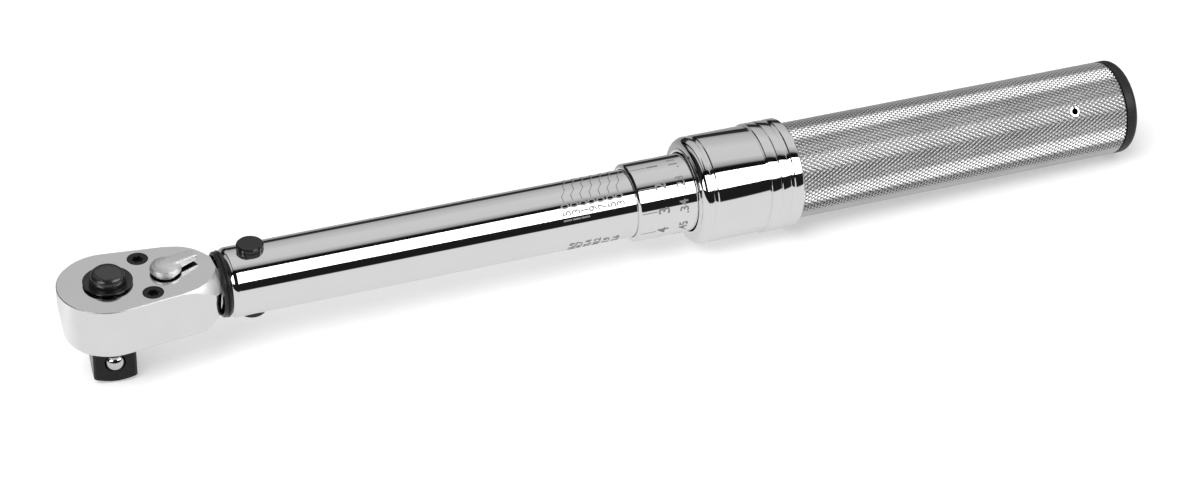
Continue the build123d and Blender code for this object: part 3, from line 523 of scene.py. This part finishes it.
# Bright strips beside the wrench: where each starts and ends along it, the turns of their long edges and their
# distance, in millimetres and degrees
strip_spans = ((-700.0, -122.0), (65.5, 520.0))
strip_turns = (27.0, 60.2)
strip_distance = 200.0
# Shares of the roof along the wrench: -1 is straight out past the head, 1 past the grip.
roof_reach = [
    (-1.0, 0.03), (-0.7, 0.03), (-0.62, 0.9), (-0.45, 0.9), (-0.42, 0.03), (-0.31, 0.03), (-0.28, 1.0), (1.0, 1.0),
]
# The soft lamp: its width and its turns, in degrees
key_spread = 35.0
key_turn = (38.0, 0.0, -55.0)
# The floor lies this far below the wrench, in metres.
floor_gap = 0.0003
floor_cells = 8
# Brightness of the mirrored floor from front to back over this distance to either side, in metres
falloff_reach = 0.2
floor_falloff = [(0.0, 0.7), (0.49, 0.72), (0.53, 0.95), (0.57, 0.82), (0.6, 0.3), (0.7, 0.16), (1.0, 0.08)]
mirrored_shadow_share = 0.3


def light_layer(tree, turn, levels, along=None):
    """One set of cards or soft boxes: a level by the angle round the wrench, times a share along it if given."""
    peak = max(level for _, level in levels)
    colour = ramp(tree, turn, [((angle + 180.0) / 360.0, level / peak) for angle, level in levels])
    if along is not None:
        colour = multiplied(tree, colour, along)
    return add_node(tree, "ShaderNodeBackground", {"Color": colour, "Strength": peak}).outputs[0]


def band_light(tree):
    """Pale and dark cards and a roof of soft boxes, all of them along the wrench."""
    way = parted(tree, "Generated")
    front = add_node(tree, "ShaderNodeMath", {0: way["Y"], 1: -1.0}, operation="MULTIPLY")
    angle = add_node(tree, "ShaderNodeMath", {0: way["Z"], 1: front.outputs[0]}, operation="ARCTAN2")
    turn = share_between(tree, angle.outputs[0], -pi, pi)
    reach = share_between(tree, way["X"], -1.0, 1.0)
    along = ramp(tree, reach, [((place + 1.0) / 2.0, share) for place, share in roof_reach])
    cards = light_layer(tree, turn, card_levels)
    roof = light_layer(tree, turn, roof_levels, along)
    return add_node(tree, "ShaderNodeAddShader", {0: cards, 1: roof}).outputs[0]


def build_strips(settings):
    """Two bright strips that only reflections see, so that the floor and matt parts keep their even light."""
    glow = bpy.data.materials.new("strip_glow")
    glow.use_nodes = True
    glow.node_tree.nodes.clear()
    lamp = add_node(glow.node_tree, "ShaderNodeEmission", {"Color": WHITE, "Strength": settings.strip_level})
    add_node(glow.node_tree, "ShaderNodeOutputMaterial", {"Surface": lamp.outputs[0]})
    for number, (start, end) in enumerate(strip_spans):
        mesh = bmesh.new()
        bmesh.ops.create_grid(mesh, x_segments=1, y_segments=1, size=0.5)
        for vert in mesh.verts:
            turn = radians(strip_turns[vert.co.y > 0])
            vert.co = polar((end if vert.co.x > 0 else start) * MM, strip_distance * MM, turn)
        strip = link_mesh(f"strip_{number}", mesh, glow)
        for ray in ("camera", "diffuse", "transmission", "volume_scatter", "shadow"):
            setattr(strip, f"visible_{ray}", False)


def build_key(settings):
    """A soft lamp from the front left that matt surfaces see and reflections do not."""
    data = bpy.data.lights.new("key_light", "SUN")
    data.energy = settings.key_level
    data.angle = radians(key_spread)
    key = bpy.data.objects.new("key_light", data)
    key.rotation_euler = [radians(turn) for turn in key_turn]
    key.visible_glossy = False
    bpy.context.scene.collection.objects.link(key)


def build_world(scene, settings):
    world = bpy.data.worlds.new("studio_light")
    scene.world = world
    world.use_nodes = True
    tree = world.node_tree
    tree.nodes.clear()
    even = add_node(tree, "ShaderNodeBackground", {"Color": WHITE, "Strength": settings.daylight})
    white = add_node(tree, "ShaderNodeBackground", {"Color": WHITE, "Strength": 1.0})
    path = add_node(tree, "ShaderNodeLightPath")
    plain = add_node(
        tree, "ShaderNodeMixShader",
        {0: path.outputs["Is Camera Ray"], 1: even.outputs[0], 2: white.outputs[0]})
    direct = add_node(tree, "ShaderNodeMath", {0: path.outputs["Diffuse Depth"], 1: 0.5}, operation="LESS_THAN")
    mirrored = add_node(
        tree, "ShaderNodeMath", {0: path.outputs["Is Glossy Ray"], 1: direct.outputs[0]}, operation="MULTIPLY")
    seen = add_node(
        tree, "ShaderNodeMixShader", {0: mirrored.outputs[0], 1: plain.outputs[0], 2: band_light(tree)})
    add_node(tree, "ShaderNodeOutputWorld", {"Surface": seen.outputs[0]})


def floor_finish(settings):
    """White to the camera with a soft shadow, and falling off to the back in reflections."""
    material = bpy.data.materials.new("studio_floor")
    material.use_nodes = True
    tree = material.node_tree
    tree.nodes.clear()
    back = share_between(tree, parted(tree, "Object")["Y"], -falloff_reach, falloff_reach)
    own = add_node(tree, "ShaderNodeBsdfDiffuse", {"Color": vary(tree, pattern(tree, 40.0), 0.8, 0.82)})
    white = add_node(tree, "ShaderNodeEmission", {"Color": WHITE, "Strength": settings.floor_white})
    mirrored = add_node(tree, "ShaderNodeEmission", {"Color": ramp(tree, back, floor_falloff), "Strength": 1.0})
    path = add_node(tree, "ShaderNodeLightPath")
    camera_look = add_node(
        tree, "ShaderNodeMixShader", {0: settings.floor_shadow, 1: white.outputs[0], 2: own.outputs[0]})
    glossy_look = add_node(
        tree, "ShaderNodeMixShader", {0: mirrored_shadow_share, 1: mirrored.outputs[0], 2: own.outputs[0]})
    first = add_node(
        tree, "ShaderNodeMixShader",
        {0: path.outputs["Is Camera Ray"], 1: own.outputs[0], 2: camera_look.outputs[0]})
    second = add_node(
        tree, "ShaderNodeMixShader",
        {0: path.outputs["Is Glossy Ray"], 1: first.outputs[0], 2: glossy_look.outputs[0]})
    add_node(tree, "ShaderNodeOutputMaterial", {"Surface": second.outputs[0]})
    return material


class WRENCH_OT_stage(bpy.types.Operator):
    """Makes the camera, the pale floor and the studio light"""
    bl_idname = "torque_wrench.stage"
    bl_label = "Stage"

    def execute(self, context):
        scene = context.scene
        settings = scene.wrench_stage
        scene.view_settings.view_transform = "Standard"
        lens = bpy.data.cameras.new("photo_camera")
        lens.lens = settings.lens
        lens.sensor_width = sensor_width
        camera = bpy.data.objects.new("photo_camera", lens)
        camera.location = camera_place
        camera.rotation_euler = [radians(turn) for turn in camera_turn]
        scene.collection.objects.link(camera)
        scene.camera = camera
        build_world(scene, settings)
        build_strips(settings)
        build_key(settings)
        mesh = bmesh.new()
        bmesh.ops.create_grid(
            mesh, x_segments=floor_cells, y_segments=floor_cells, size=settings.floor_size / 2)
        slope = settings.floor_drop / (highest("lock_collar").x - lowest("drive_gear").x)
        for vert in mesh.verts:
            vert.co.z = vert.co.x * slope - floor_gap
        floor = link_mesh("floor", mesh, floor_finish(settings))
        return {"FINISHED"}


# Collar and thimble

class WRENCH_OT_sleeves(bpy.types.Operator):
    """Makes the chrome collar with its grooves and the thimble with its rim, with the collar's outer edges and the
    thimble's rim rounded
    """
    bl_idname = "torque_wrench.sleeves"
    bl_label = "Collar and Thimble"

    def execute(self, context):
        # Radii and places along the wrench, in millimetres
        lip, pocket, inner, band, rear = 9.45, 11.26, 11.75, 12.65, 13.0
        front, neck, shoulder, back = 136.3, 136.5, 136.7, 161.7
        groove = 0.3
        collar = turned_on_wrench((
            # front lip and shoulder
            (136.45, lip), (front, lip + 0.15), (front, 10.2), (neck, 10.4), (shoulder, 12.1), (138.2, band - 0.1),
            (138.4, band),
            # band with a groove in front and a step behind
            (139.1, band), (139.3, band - groove), (140.15, band - groove), (140.35, band), (153.12, band),
            (153.24, band - 0.16), (153.44, band - 0.16),
            # rear ring with a line and a groove
            (153.6, rear), (155.95, rear), (156.15, rear - 0.26), (156.35, rear), (158.35, rear),
            (158.55, rear - groove), (159.35, rear - groove), (159.55, rear), (161.45, rear), (back, rear - 0.25),
            # bore, with the pockets of the spring and of the balls
            (back, inner), (148.3, inner), (148.3, lip), (146.7, lip), (146.7, pocket), (138.6, pocket), (138.6, lip),
        ))
        shoulder_round, front_round, edge_round = 1.3 * MM, 0.05 * MM, 0.06 * MM
        soften(collar, ring_edges(collar, [shoulder]), shoulder_round, segments=10)
        soften(collar, ring_edges(collar, [front, neck]), front_round)
        soften(collar, beyond(ring_edges(collar), radius=12.0), edge_round)
        finish_piece("collar_turned", collar, "polished_chrome", "collar", ["lock_collar"])

        bore, outer = 8.0175, thimble_r / MM
        rim, taper, end, bottom = 121.83, 122.3, 176.0, outer - 0.35
        thimble = turned_on_wrench((
            (rim, bore + 0.1), (rim, 8.5), (taper, outer), (145.58, outer), (145.58, bottom), (146.42, bottom),
            (146.42, outer), (end, outer), (end, bore), (121.93, bore),
        ))
        rim_round = 0.07 * MM
        soften(thimble, ring_edges(thimble, [rim, taper]), rim_round, segments=3)
        finish_piece("thimble_turned", thimble, "polished_chrome", "handle", ["thimble"])
        return {"FINISHED"}


# Rubber seal at the neck

class WRENCH_OT_neck_seal(bpy.types.Operator):
    """Makes the rubber seal with its two ridges between the head and the tube"""
    bl_idname = "torque_wrench.neck_seal"
    bl_label = "Neck Seal"

    def execute(self, context):
        low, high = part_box("neck_seal")
        start, end = low.x / MM, high.x / MM
        ridge = high.y / MM
        bore, front_bore, plug, face = 6.45, 6.75, 6.68, 25.78
        crest, valley = ridge - 0.12, ridge - 0.42
        seal = turned_on_wrench((
            (start, front_bore), (start, ridge - 0.5), (start + 0.3, crest), (start + 0.62, crest),
            (start + 0.8, valley), (start + 0.92, valley), (start + 1.08, ridge), (face - 0.22, ridge),
            (face, ridge - 0.25), (face, plug), (end, plug), (end, bore),
        ), steps=96)
        ridge_round = 0.12 * MM
        soften(seal, beyond(ring_edges(seal), radius=6.9), ridge_round, segments=3)
        finish_piece("seal_ridged", seal, "neck_rubber", "barrel", ["neck_seal"], crease=50.0)
        return {"FINISHED"}


# Cover screws

class WRENCH_OT_star_screws(bpy.types.Operator):
    """Makes the two cover screws with their six-lobed recess"""
    bl_idname = "torque_wrench.star_screws"
    bl_label = "Star Screws"

    def execute(self, context):
        low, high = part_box("cover_screws")
        radius = (high.x - low.x) / 2
        shank, seat, edge_round = 1.0 * MM, -1.22 * MM, 0.12 * MM
        recess_taper, recess_chamfer, recess_depth = 0.95, 0.08 * MM, 0.9 * MM
        lobes, lobe_root, lobe_rise, lobe_power = 6, 0.95, 0.4, 0.8
        mesh = bmesh.new()
        star = bmesh.ops.create_circle(mesh, segments=72, radius=1.0)["verts"]
        for vert in star:
            lobe = 0.5 + 0.5 * cos(lobes * Vector((1.0, 0.0)).angle_signed(vert.co.xy, 0.0))
            vert.co = vert.co * (lobe_root + lobe_rise * lobe ** lobe_power) * MM
        rim = mesh.edges[:]

        def on_circle(reach, z):
            return lambda point: Vector((*(point.xy.normalized() * reach), z))

        def tapered(z):
            return lambda point: Vector((point.x * recess_taper, point.y * recess_taper, z))

        sides = rim
        for reach, z in ((radius - 0.15 * MM, 0.0), (radius, -edge_round), (radius, seat), (shank, seat),
                         (shank, low.z - high.z)):
            sides = grow(mesh, sides, on_circle(reach, z))
        bmesh.ops.edgeloop_fill(mesh, edges=sides)
        floor = rim
        for z in (-recess_chamfer, -recess_depth):
            floor = grow(mesh, floor, tapered(z))
        bmesh.ops.edgeloop_fill(mesh, edges=floor)
        bmesh.ops.translate(mesh, vec=(low.x + radius, low.y + radius, high.z), verts=mesh.verts)
        copy_moved(mesh, everything(mesh), (0.0, high.y - low.y - 2 * radius, 0.0))
        bmesh.ops.recalc_face_normals(mesh, faces=mesh.faces)
        finish_piece("screws_star", mesh, "black_oxide", "head", ["cover_screws"])
        return {"FINISHED"}


# Release button

class WRENCH_OT_domed_button(bpy.types.Operator):
    """Makes the release button with its rounded dome, skirt and waisted stem"""
    bl_idname = "torque_wrench.domed_button"
    bl_label = "Domed Button"

    def execute(self, context):
        low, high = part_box("release_button")
        foot, top = (low.z - axis_z) / MM, (high.z - axis_z) / MM
        dome, skirt, stem, waist = 3.9, 4.3, 1.6, 0.6
        button = turned([wrench_axis + Vector((radius * MM, 0.0, z * MM)) for radius, z in (
            (0.0, top), (1.6, top - 0.05), (2.5, top - 0.16), (3.1, top - 0.4), (3.5, top - 0.8),
            (3.74, top - 1.3), (3.86, top - 1.9), (dome, top - 2.5), (dome, 6.5), (skirt, 6.5), (skirt, 2.2),
            (stem, 2.2), (stem, -7.6), (waist, -8.6), (waist, -11.4), (stem, -12.4), (stem, foot), (0.0, foot),
        )], steps=96, centre=wrench_axis, axis=upwards)
        finish_piece(
            "button_domed", button, "button_black", "button", ["release_button"], crease=35.0)
        return {"FINISHED"}


# Reversing lever

def cast_together(shells, voxel, passes):
    """Melts closed shells into one rounded casting."""
    data = bpy.data.meshes.new("casting")
    whole = bmesh.new()
    for shell in shells:
        shell.to_mesh(data)
        whole.from_mesh(data)
        shell.free()
    whole.to_mesh(data)
    whole.free()
    rough = bpy.data.objects.new("casting", data)
    bpy.context.scene.collection.objects.link(rough)
    melt = rough.modifiers.new("melt", "REMESH")
    melt.mode = "VOXEL"
    melt.voxel_size = voxel
    blend = rough.modifiers.new("blend", "SMOOTH")
    blend.factor = 0.5
    blend.iterations = passes
    baked = bpy.data.meshes.new_from_object(rough.evaluated_get(bpy.context.evaluated_depsgraph_get()))
    mesh = bmesh.new()
    mesh.from_mesh(baked)
    bpy.data.objects.remove(rough)
    bpy.data.meshes.remove(data)
    bpy.data.meshes.remove(baked)
    return mesh


class WRENCH_OT_cast_lever(bpy.types.Operator):
    """Makes the cast reversing lever: a domed hub, a rounded arm and the shaft below"""
    bl_idname = "torque_wrench.cast_lever"
    bl_label = "Cast Lever"

    def execute(self, context):
        pivot = Vector((*joint_place("lever_turn")[:2], axis_z))
        bottom, shaft_end = 6.37, -4.8
        arm_start, arm_end, arm_turn, arm_round = 0.6, 7.75, 20.0, 0.35 * MM
        # Half width and height of the arm by whether it is at the tip and on top, in millimetres
        arm_sizes = {
            (False, False): (2.1, 6.8), (False, True): (1.5, 8.95),
            (True, False): (1.5, 6.98), (True, True): (1.2, 8.2),
        }

        def hub_point(radius, z):
            return pivot + Vector((radius * MM, 0.0, z * MM))

        hub = turned([hub_point(*point) for point in (
            (0.0, bottom), (2.5, bottom), (2.6, 6.78), (3.3, 6.8), (3.5, 7.0), (3.45, 7.5), (3.1, 8.1), (2.2, 8.6),
            (1.1, 8.88), (0.0, 8.95),
        )], steps=64, centre=pivot, axis=upwards)
        arm = bmesh.new()
        bmesh.ops.create_cube(arm, size=1.0)
        for vert in arm.verts:
            tip, left, top = vert.co.x > 0, vert.co.y > 0, vert.co.z > 0
            half, height = arm_sizes[tip, top]
            vert.co = Vector(((arm_end if tip else arm_start) * MM, (half if left else -half) * MM, height * MM))
        soften(arm, arm.edges[:], arm_round, segments=3)
        bmesh.ops.rotate(
            arm, verts=arm.verts, cent=(0.0, 0.0, 0.0), matrix=Matrix.Rotation(radians(arm_turn), 3, "Z"))
        bmesh.ops.translate(arm, verts=arm.verts, vec=pivot)
        mesh = cast_together([hub, arm], voxel=0.1 * MM, passes=5)
        shaft = turned([hub_point(*point) for point in (
            (0.0, shaft_end), (1.75, shaft_end), (1.9, shaft_end + 0.15), (1.9, bottom + 0.4), (0.0, bottom + 0.4),
        )], steps=48, centre=pivot, axis=upwards)
        data = bpy.data.meshes.new("shaft")
        shaft.to_mesh(data)
        shaft.free()
        mesh.from_mesh(data)
        bpy.data.meshes.remove(data)
        finish_piece("lever_cast", mesh, "cast_plating", "lever", ["lever"], crease=60.0)
        return {"FINISHED"}


# Knurled grip

def knurl_pads(settings, radius, start, end):
    """Diamond pads on a sleeve. Their edges meet in the grooves' bottoms."""
    weld_gap = 0.01 * MM
    mesh = bmesh.new()
    pitch = settings.pad_length
    root = radius - settings.depth
    half_arc = WHOLE_TURN * root / settings.around / 2
    bmesh.ops.create_circle(mesh, segments=4, radius=1.0, cap_ends=True)
    top = bmesh.ops.extrude_discrete_faces(mesh, faces=mesh.faces[:])["faces"][0]
    bmesh.ops.scale(mesh, vec=(settings.top_share, settings.top_share, 1.0), verts=top.verts)
    bmesh.ops.translate(mesh, vec=(0.0, 0.0, settings.depth), verts=top.verts)
    bmesh.ops.scale(mesh, vec=(pitch / 2, half_arc, 1.0), verts=mesh.verts)
    copy_moved(mesh, everything(mesh), (pitch / 2, half_arc, 0.0))
    cell = everything(mesh)
    # A few diamonds more than fit, which the cuts below trim
    count = int((end - start) / pitch) + 3
    for step in range(1, count):
        copy_moved(mesh, cell, (pitch * step, 0.0, 0.0))
    bmesh.ops.translate(mesh, vec=(start - pitch, 0.0, 0.0), verts=mesh.verts)
    wrap(mesh, root)
    bmesh.ops.spin(
        mesh, geom=everything(mesh), cent=wrench_axis, axis=along_x, angle=WHOLE_TURN, steps=settings.around,
        use_duplicate=True)
    bmesh.ops.remove_doubles(mesh, verts=mesh.verts, dist=weld_gap)
    for place, way in ((start, -1.0), (end, 1.0)):
        bmesh.ops.bisect_plane(
            mesh, geom=everything(mesh), plane_co=(place, 0.0, 0.0), plane_no=(way, 0.0, 0.0), dist=CUT_TOLERANCE,
            clear_outer=True)
    return mesh


def set_round(x, radius):
    """Gives a function that moves a point to a radius and a place along the axis, at its own angle."""
    def place(point):
        reach = hypot(point.y, point.z - axis_z)
        return Vector((x, point.y * radius / reach, axis_z + (point.z - axis_z) * radius / reach))
    return place


def drill(mesh, start, direction, radius, sides=20):
    """Cuts a round hole from the wrench axis outwards through a closed, turned wall."""
    margin = 2 * MM

    def is_near(face):
        away = face.calc_center_median() - start
        ahead = away.dot(direction)
        return ahead > 0 and (away - ahead * direction).length < radius + margin

    near = [face for face in mesh.faces if is_near(face)]
    parts = list({part for face in near for part in (face, *face.edges, *face.verts)})
    across = direction.orthogonal().normalized()
    outward = [Matrix.Rotation(WHOLE_TURN * side / sides, 3, direction) @ across for side in range(sides)]
    for way in outward:
        parts = bmesh.ops.bisect_plane(
            mesh, geom=parts, plane_co=start + way * radius, plane_no=way, dist=CUT_TOLERANCE)["geom"]
    inside = [
        part for part in parts if isinstance(part, bmesh.types.BMFace)
        and all((part.calc_center_median() - start).dot(way) < radius for way in outward)]
    bmesh.ops.delete(mesh, geom=inside, context="FACES")
    bmesh.ops.bridge_loops(mesh, edges=[edge for edge in mesh.edges if edge.is_boundary])


class WRENCH_OT_knurled_grip(bpy.types.Operator):
    """Makes the grip with its diamond knurl, bore and roll pin hole"""
    bl_idname = "torque_wrench.knurled_grip"
    bl_label = "Knurled Grip"

    def execute(self, context):
        settings = context.scene.wrench_knurl
        start, end = lowest("grip").x, highest("grip").x
        front_chamfer, rear_chamfer, weld_gap = 0.8 * MM, 0.35 * MM, 0.001 * MM
        hole_r, hole_margin = 1.36 * MM, 3 * MM
        mesh = knurl_pads(settings, grip_r, start + front_chamfer, end - rear_chamfer)
        open_edges = [edge for edge in mesh.edges if edge.is_boundary]
        middle = (start + end) / 2
        front = [edge for edge in open_edges if edge.verts[0].co.x < middle]
        rear = [edge for edge in open_edges if edge.verts[0].co.x > middle]
        bore, inner = thimble_r + 0.02 * MM, 8.2675 * MM
        step = highest("thimble").x + 0.2 * MM
        for x, radius in ((start, grip_r - front_chamfer), (start, bore), (step, bore), (step, inner)):
            front = grow(mesh, front, set_round(x, radius))
        hole_x = (lowest("roll_pin").x + highest("roll_pin").x) / 2
        for x, radius in ((end, grip_r - rear_chamfer), (end, inner), (hole_x + hole_margin, inner),
                          (hole_x - hole_margin, inner), (step, inner)):
            rear = grow(mesh, rear, set_round(x, radius))
        bmesh.ops.bridge_loops(mesh, edges=front + rear)
        bmesh.ops.remove_doubles(mesh, verts=mesh.verts, dist=weld_gap)
        bmesh.ops.recalc_face_normals(mesh, faces=mesh.faces)
        way = polar(0.0, 1.0, radians(roll_pin_turn)) - wrench_axis
        for direction in (way, -way):
            drill(mesh, wrench_axis + along_x * hole_x, direction, hole_r)
        bmesh.ops.recalc_face_normals(mesh, faces=mesh.faces)
        finish_piece("grip_knurled", mesh, "knurl_chrome", "handle", ["grip"], crease=20.0)
        return {"FINISHED"}


# Scale marks

# Places along the wrench and heights in millimetres, turns in degrees above the -Y side
first_line_x = 104.7
# How far each corner of a torque line lies along the tube, and its turn
line_corners = (
    (0.0, 58.5), (0.0, 69.8), (1.3, 81.0), (1.38, 92.0), (2.5, 104.0), (2.5, 115.0), (3.7, 126.0), (3.7, 140.0),
)
last_line_corners = 5
upper_numbers = (
    (150, 104.82), (130, 107.07), (110, 109.23), (90, 111.29), (70, 113.51), (50, 115.91), (30, 118.06),
)
upper_turn, digit_turn, upper_height = 51.3, 12.0, 1.95
lower_numbers = (
    ("16.9", 106.1), ("14.7", 107.8), ("12.4", 109.95), ("10.2", 112.2), ("7.9", 114.57), ("5.6", 116.9),
)
lower_turn, lower_height = -33.0, 1.6
tick_start, tick_end = 122.4, 126.2
inner_numbers = (".00", ".11", ".23", ".34", ".45", ".56", ".68", ".79", ".90", "1.02")
# One tick of the thimble and the turn at which it stands at rest
known_tick, known_tick_turn = 3, 15.0
tick_x, tick_height = 128.0, 2.75
inner_x, inner_height = 133.0, 2.1


def add_ribbon(mesh, points, width):
    """A flat mark through points of x and arc length, as wide along x as told."""
    first = [mesh.verts.new((points[0][0] + side * width / 2, points[0][1], 0.0)) for side in (-1, 1)]
    edge = [mesh.edges.new(first)]
    for (x, arc), (next_x, next_arc) in zip(points, points[1:]):
        step = Vector((next_x - x, next_arc - arc, 0.0))
        edge = grow(mesh, edge, lambda point, step=step: point + step)


def add_text(mesh, text, x, arc, height):
    """Numbers that read round the tube, with their tops towards the drive."""
    curve = bpy.data.curves.new("number", "FONT")
    curve.body = text
    curve.size = 1.0
    curve.offset = 0.018  # thickens the strokes
    curve.align_x = "CENTER"
    curve.align_y = "CENTER"
    curve.resolution_u = 3
    made = bpy.data.objects.new("number", curve)
    bpy.context.scene.collection.objects.link(made)
    bpy.context.view_layer.update()
    flat = bpy.data.meshes.new_from_object(made)
    digit_height = 0.7
    scale = height / digit_height
    flat.transform(
        Matrix.Translation((x, arc, 0.0)) @ Matrix.Rotation(pi / 2, 4, "Z") @ Matrix.Scale(scale, 4))
    mesh.from_mesh(flat)
    bpy.data.objects.remove(made)
    bpy.data.curves.remove(curve)
    bpy.data.meshes.remove(flat)


def raise_marks(mesh, radius, proud):
    """Cuts flat marks into short steps round the tube, gives them a body and wraps them."""
    low = min(vert.co.y for vert in mesh.verts)
    high = max(vert.co.y for vert in mesh.verts)
    step, weld_gap, sunk = 0.3 * MM, 0.0005 * MM, 0.02 * MM
    for count in range(1, int((high - low) / step) + 1):
        bmesh.ops.bisect_plane(
            mesh, geom=everything(mesh), plane_co=(0.0, low + count * step, 0.0), plane_no=(0.0, 1.0, 0.0),
            dist=CUT_TOLERANCE)
    bmesh.ops.remove_doubles(mesh, verts=mesh.verts, dist=weld_gap)
    for vert in mesh.verts:
        vert.co.z = -sunk
    raised = bmesh.ops.extrude_face_region(mesh, geom=mesh.faces[:], use_keep_orig=True)["geom"]
    bmesh.ops.translate(mesh, vec=(0.0, 0.0, sunk + proud), verts=verts_among(raised))
    wrap(mesh, radius)
    bmesh.ops.recalc_face_normals(mesh, faces=mesh.faces)


class WRENCH_OT_tube_scale(bpy.types.Operator):
    """Makes the torque lines and numbers on the tube"""
    bl_idname = "torque_wrench.tube_scale"
    bl_label = "Tube Scale"

    def execute(self, context):
        settings = context.scene.wrench_scale
        mesh = bmesh.new()
        for line in range(len(upper_numbers)):
            x = first_line_x * MM + line * settings.line_pitch
            points = [(x + shift * MM, radians(turn) * tube_r) for shift, turn in line_corners]
            if line == len(upper_numbers) - 1:
                points = points[:last_line_corners]
            add_ribbon(mesh, points, settings.line_width)
        for value, x in upper_numbers:
            for place, digit in enumerate(reversed(str(value))):
                turn = upper_turn - digit_turn * place
                add_text(mesh, digit, x * MM, radians(turn) * tube_r, upper_height * MM)
        for value, x in lower_numbers:
            add_text(mesh, value, x * MM, radians(lower_turn) * tube_r, lower_height * MM)
        raise_marks(mesh, tube_r, settings.proud)
        finish_piece("tube_scale", mesh, "engraved_marks", "barrel")
        return {"FINISHED"}


class WRENCH_OT_thimble_scale(bpy.types.Operator):
    """Makes the ticks and numbers on the turning thimble"""
    bl_idname = "torque_wrench.thimble_scale"
    bl_label = "Thimble Scale"

    def execute(self, context):
        settings = context.scene.wrench_scale
        mesh = bmesh.new()
        start, end, half = tick_start * MM, tick_end * MM, settings.line_width / 2
        middle = (start + end) / 2
        spacing = 360.0 / len(inner_numbers)
        for tick, inner_number in enumerate(inner_numbers):
            turn = (known_tick_turn + spacing * (known_tick - tick) + 180.0) % 360.0 - 180.0
            arc = radians(turn) * thimble_r
            add_ribbon(mesh, [(middle, arc - half), (middle, arc + half)], end - start)
            add_text(mesh, str(tick), tick_x * MM, arc, tick_height * MM)
            add_text(mesh, inner_number, inner_x * MM, arc, inner_height * MM)
        raise_marks(mesh, thimble_r, settings.proud)
        finish_piece("thimble_scale", mesh, "engraved_marks", "handle")
        return {"FINISHED"}


class WRENCH_PT_panel(bpy.types.Panel):
    """Lists the steps in the order in which they run"""
    bl_label = "Torque Wrench"
    bl_idname = "WRENCH_PT_panel"
    bl_space_type = "VIEW_3D"
    bl_region_type = "UI"
    bl_category = "Torque Wrench"

    def draw(self, context):
        for step in steps:
            self.layout.operator(step.bl_idname)
        for group in settings_groups:
            settings = getattr(context.scene, group)
            box = self.layout.box()
            for name in settings.__annotations__:
                box.prop(settings, name)


settings_groups = {
    "wrench_stage": StageSettings,
    "wrench_finish": FinishSettings,
    "wrench_knurl": KnurlSettings,
    "wrench_scale": ScaleSettings,
}
steps = (
    WRENCH_OT_stage,
    WRENCH_OT_finishes,
    WRENCH_OT_sleeves,
    WRENCH_OT_neck_seal,
    WRENCH_OT_star_screws,
    WRENCH_OT_domed_button,
    WRENCH_OT_cast_lever,
    WRENCH_OT_knurled_grip,
    WRENCH_OT_tube_scale,
    WRENCH_OT_thimble_scale,
)


def register():
    for group in settings_groups.values():
        bpy.utils.register_class(group)
    for step in (*steps, WRENCH_PT_panel):
        bpy.utils.register_class(step)
    for name, group in settings_groups.items():
        setattr(bpy.types.Scene, name, PointerProperty(type=group))


def unregister():
    for name in settings_groups:
        delattr(bpy.types.Scene, name)
    for step in (WRENCH_PT_panel, *reversed(steps)):
        bpy.utils.unregister_class(step)
    for group in settings_groups.values():
        bpy.utils.unregister_class(group)


def main():
    register()
    for step in steps:
        area, action = step.bl_idname.split(".")
        getattr(getattr(bpy.ops, area), action)()


if __name__ == "__main__":
    main()
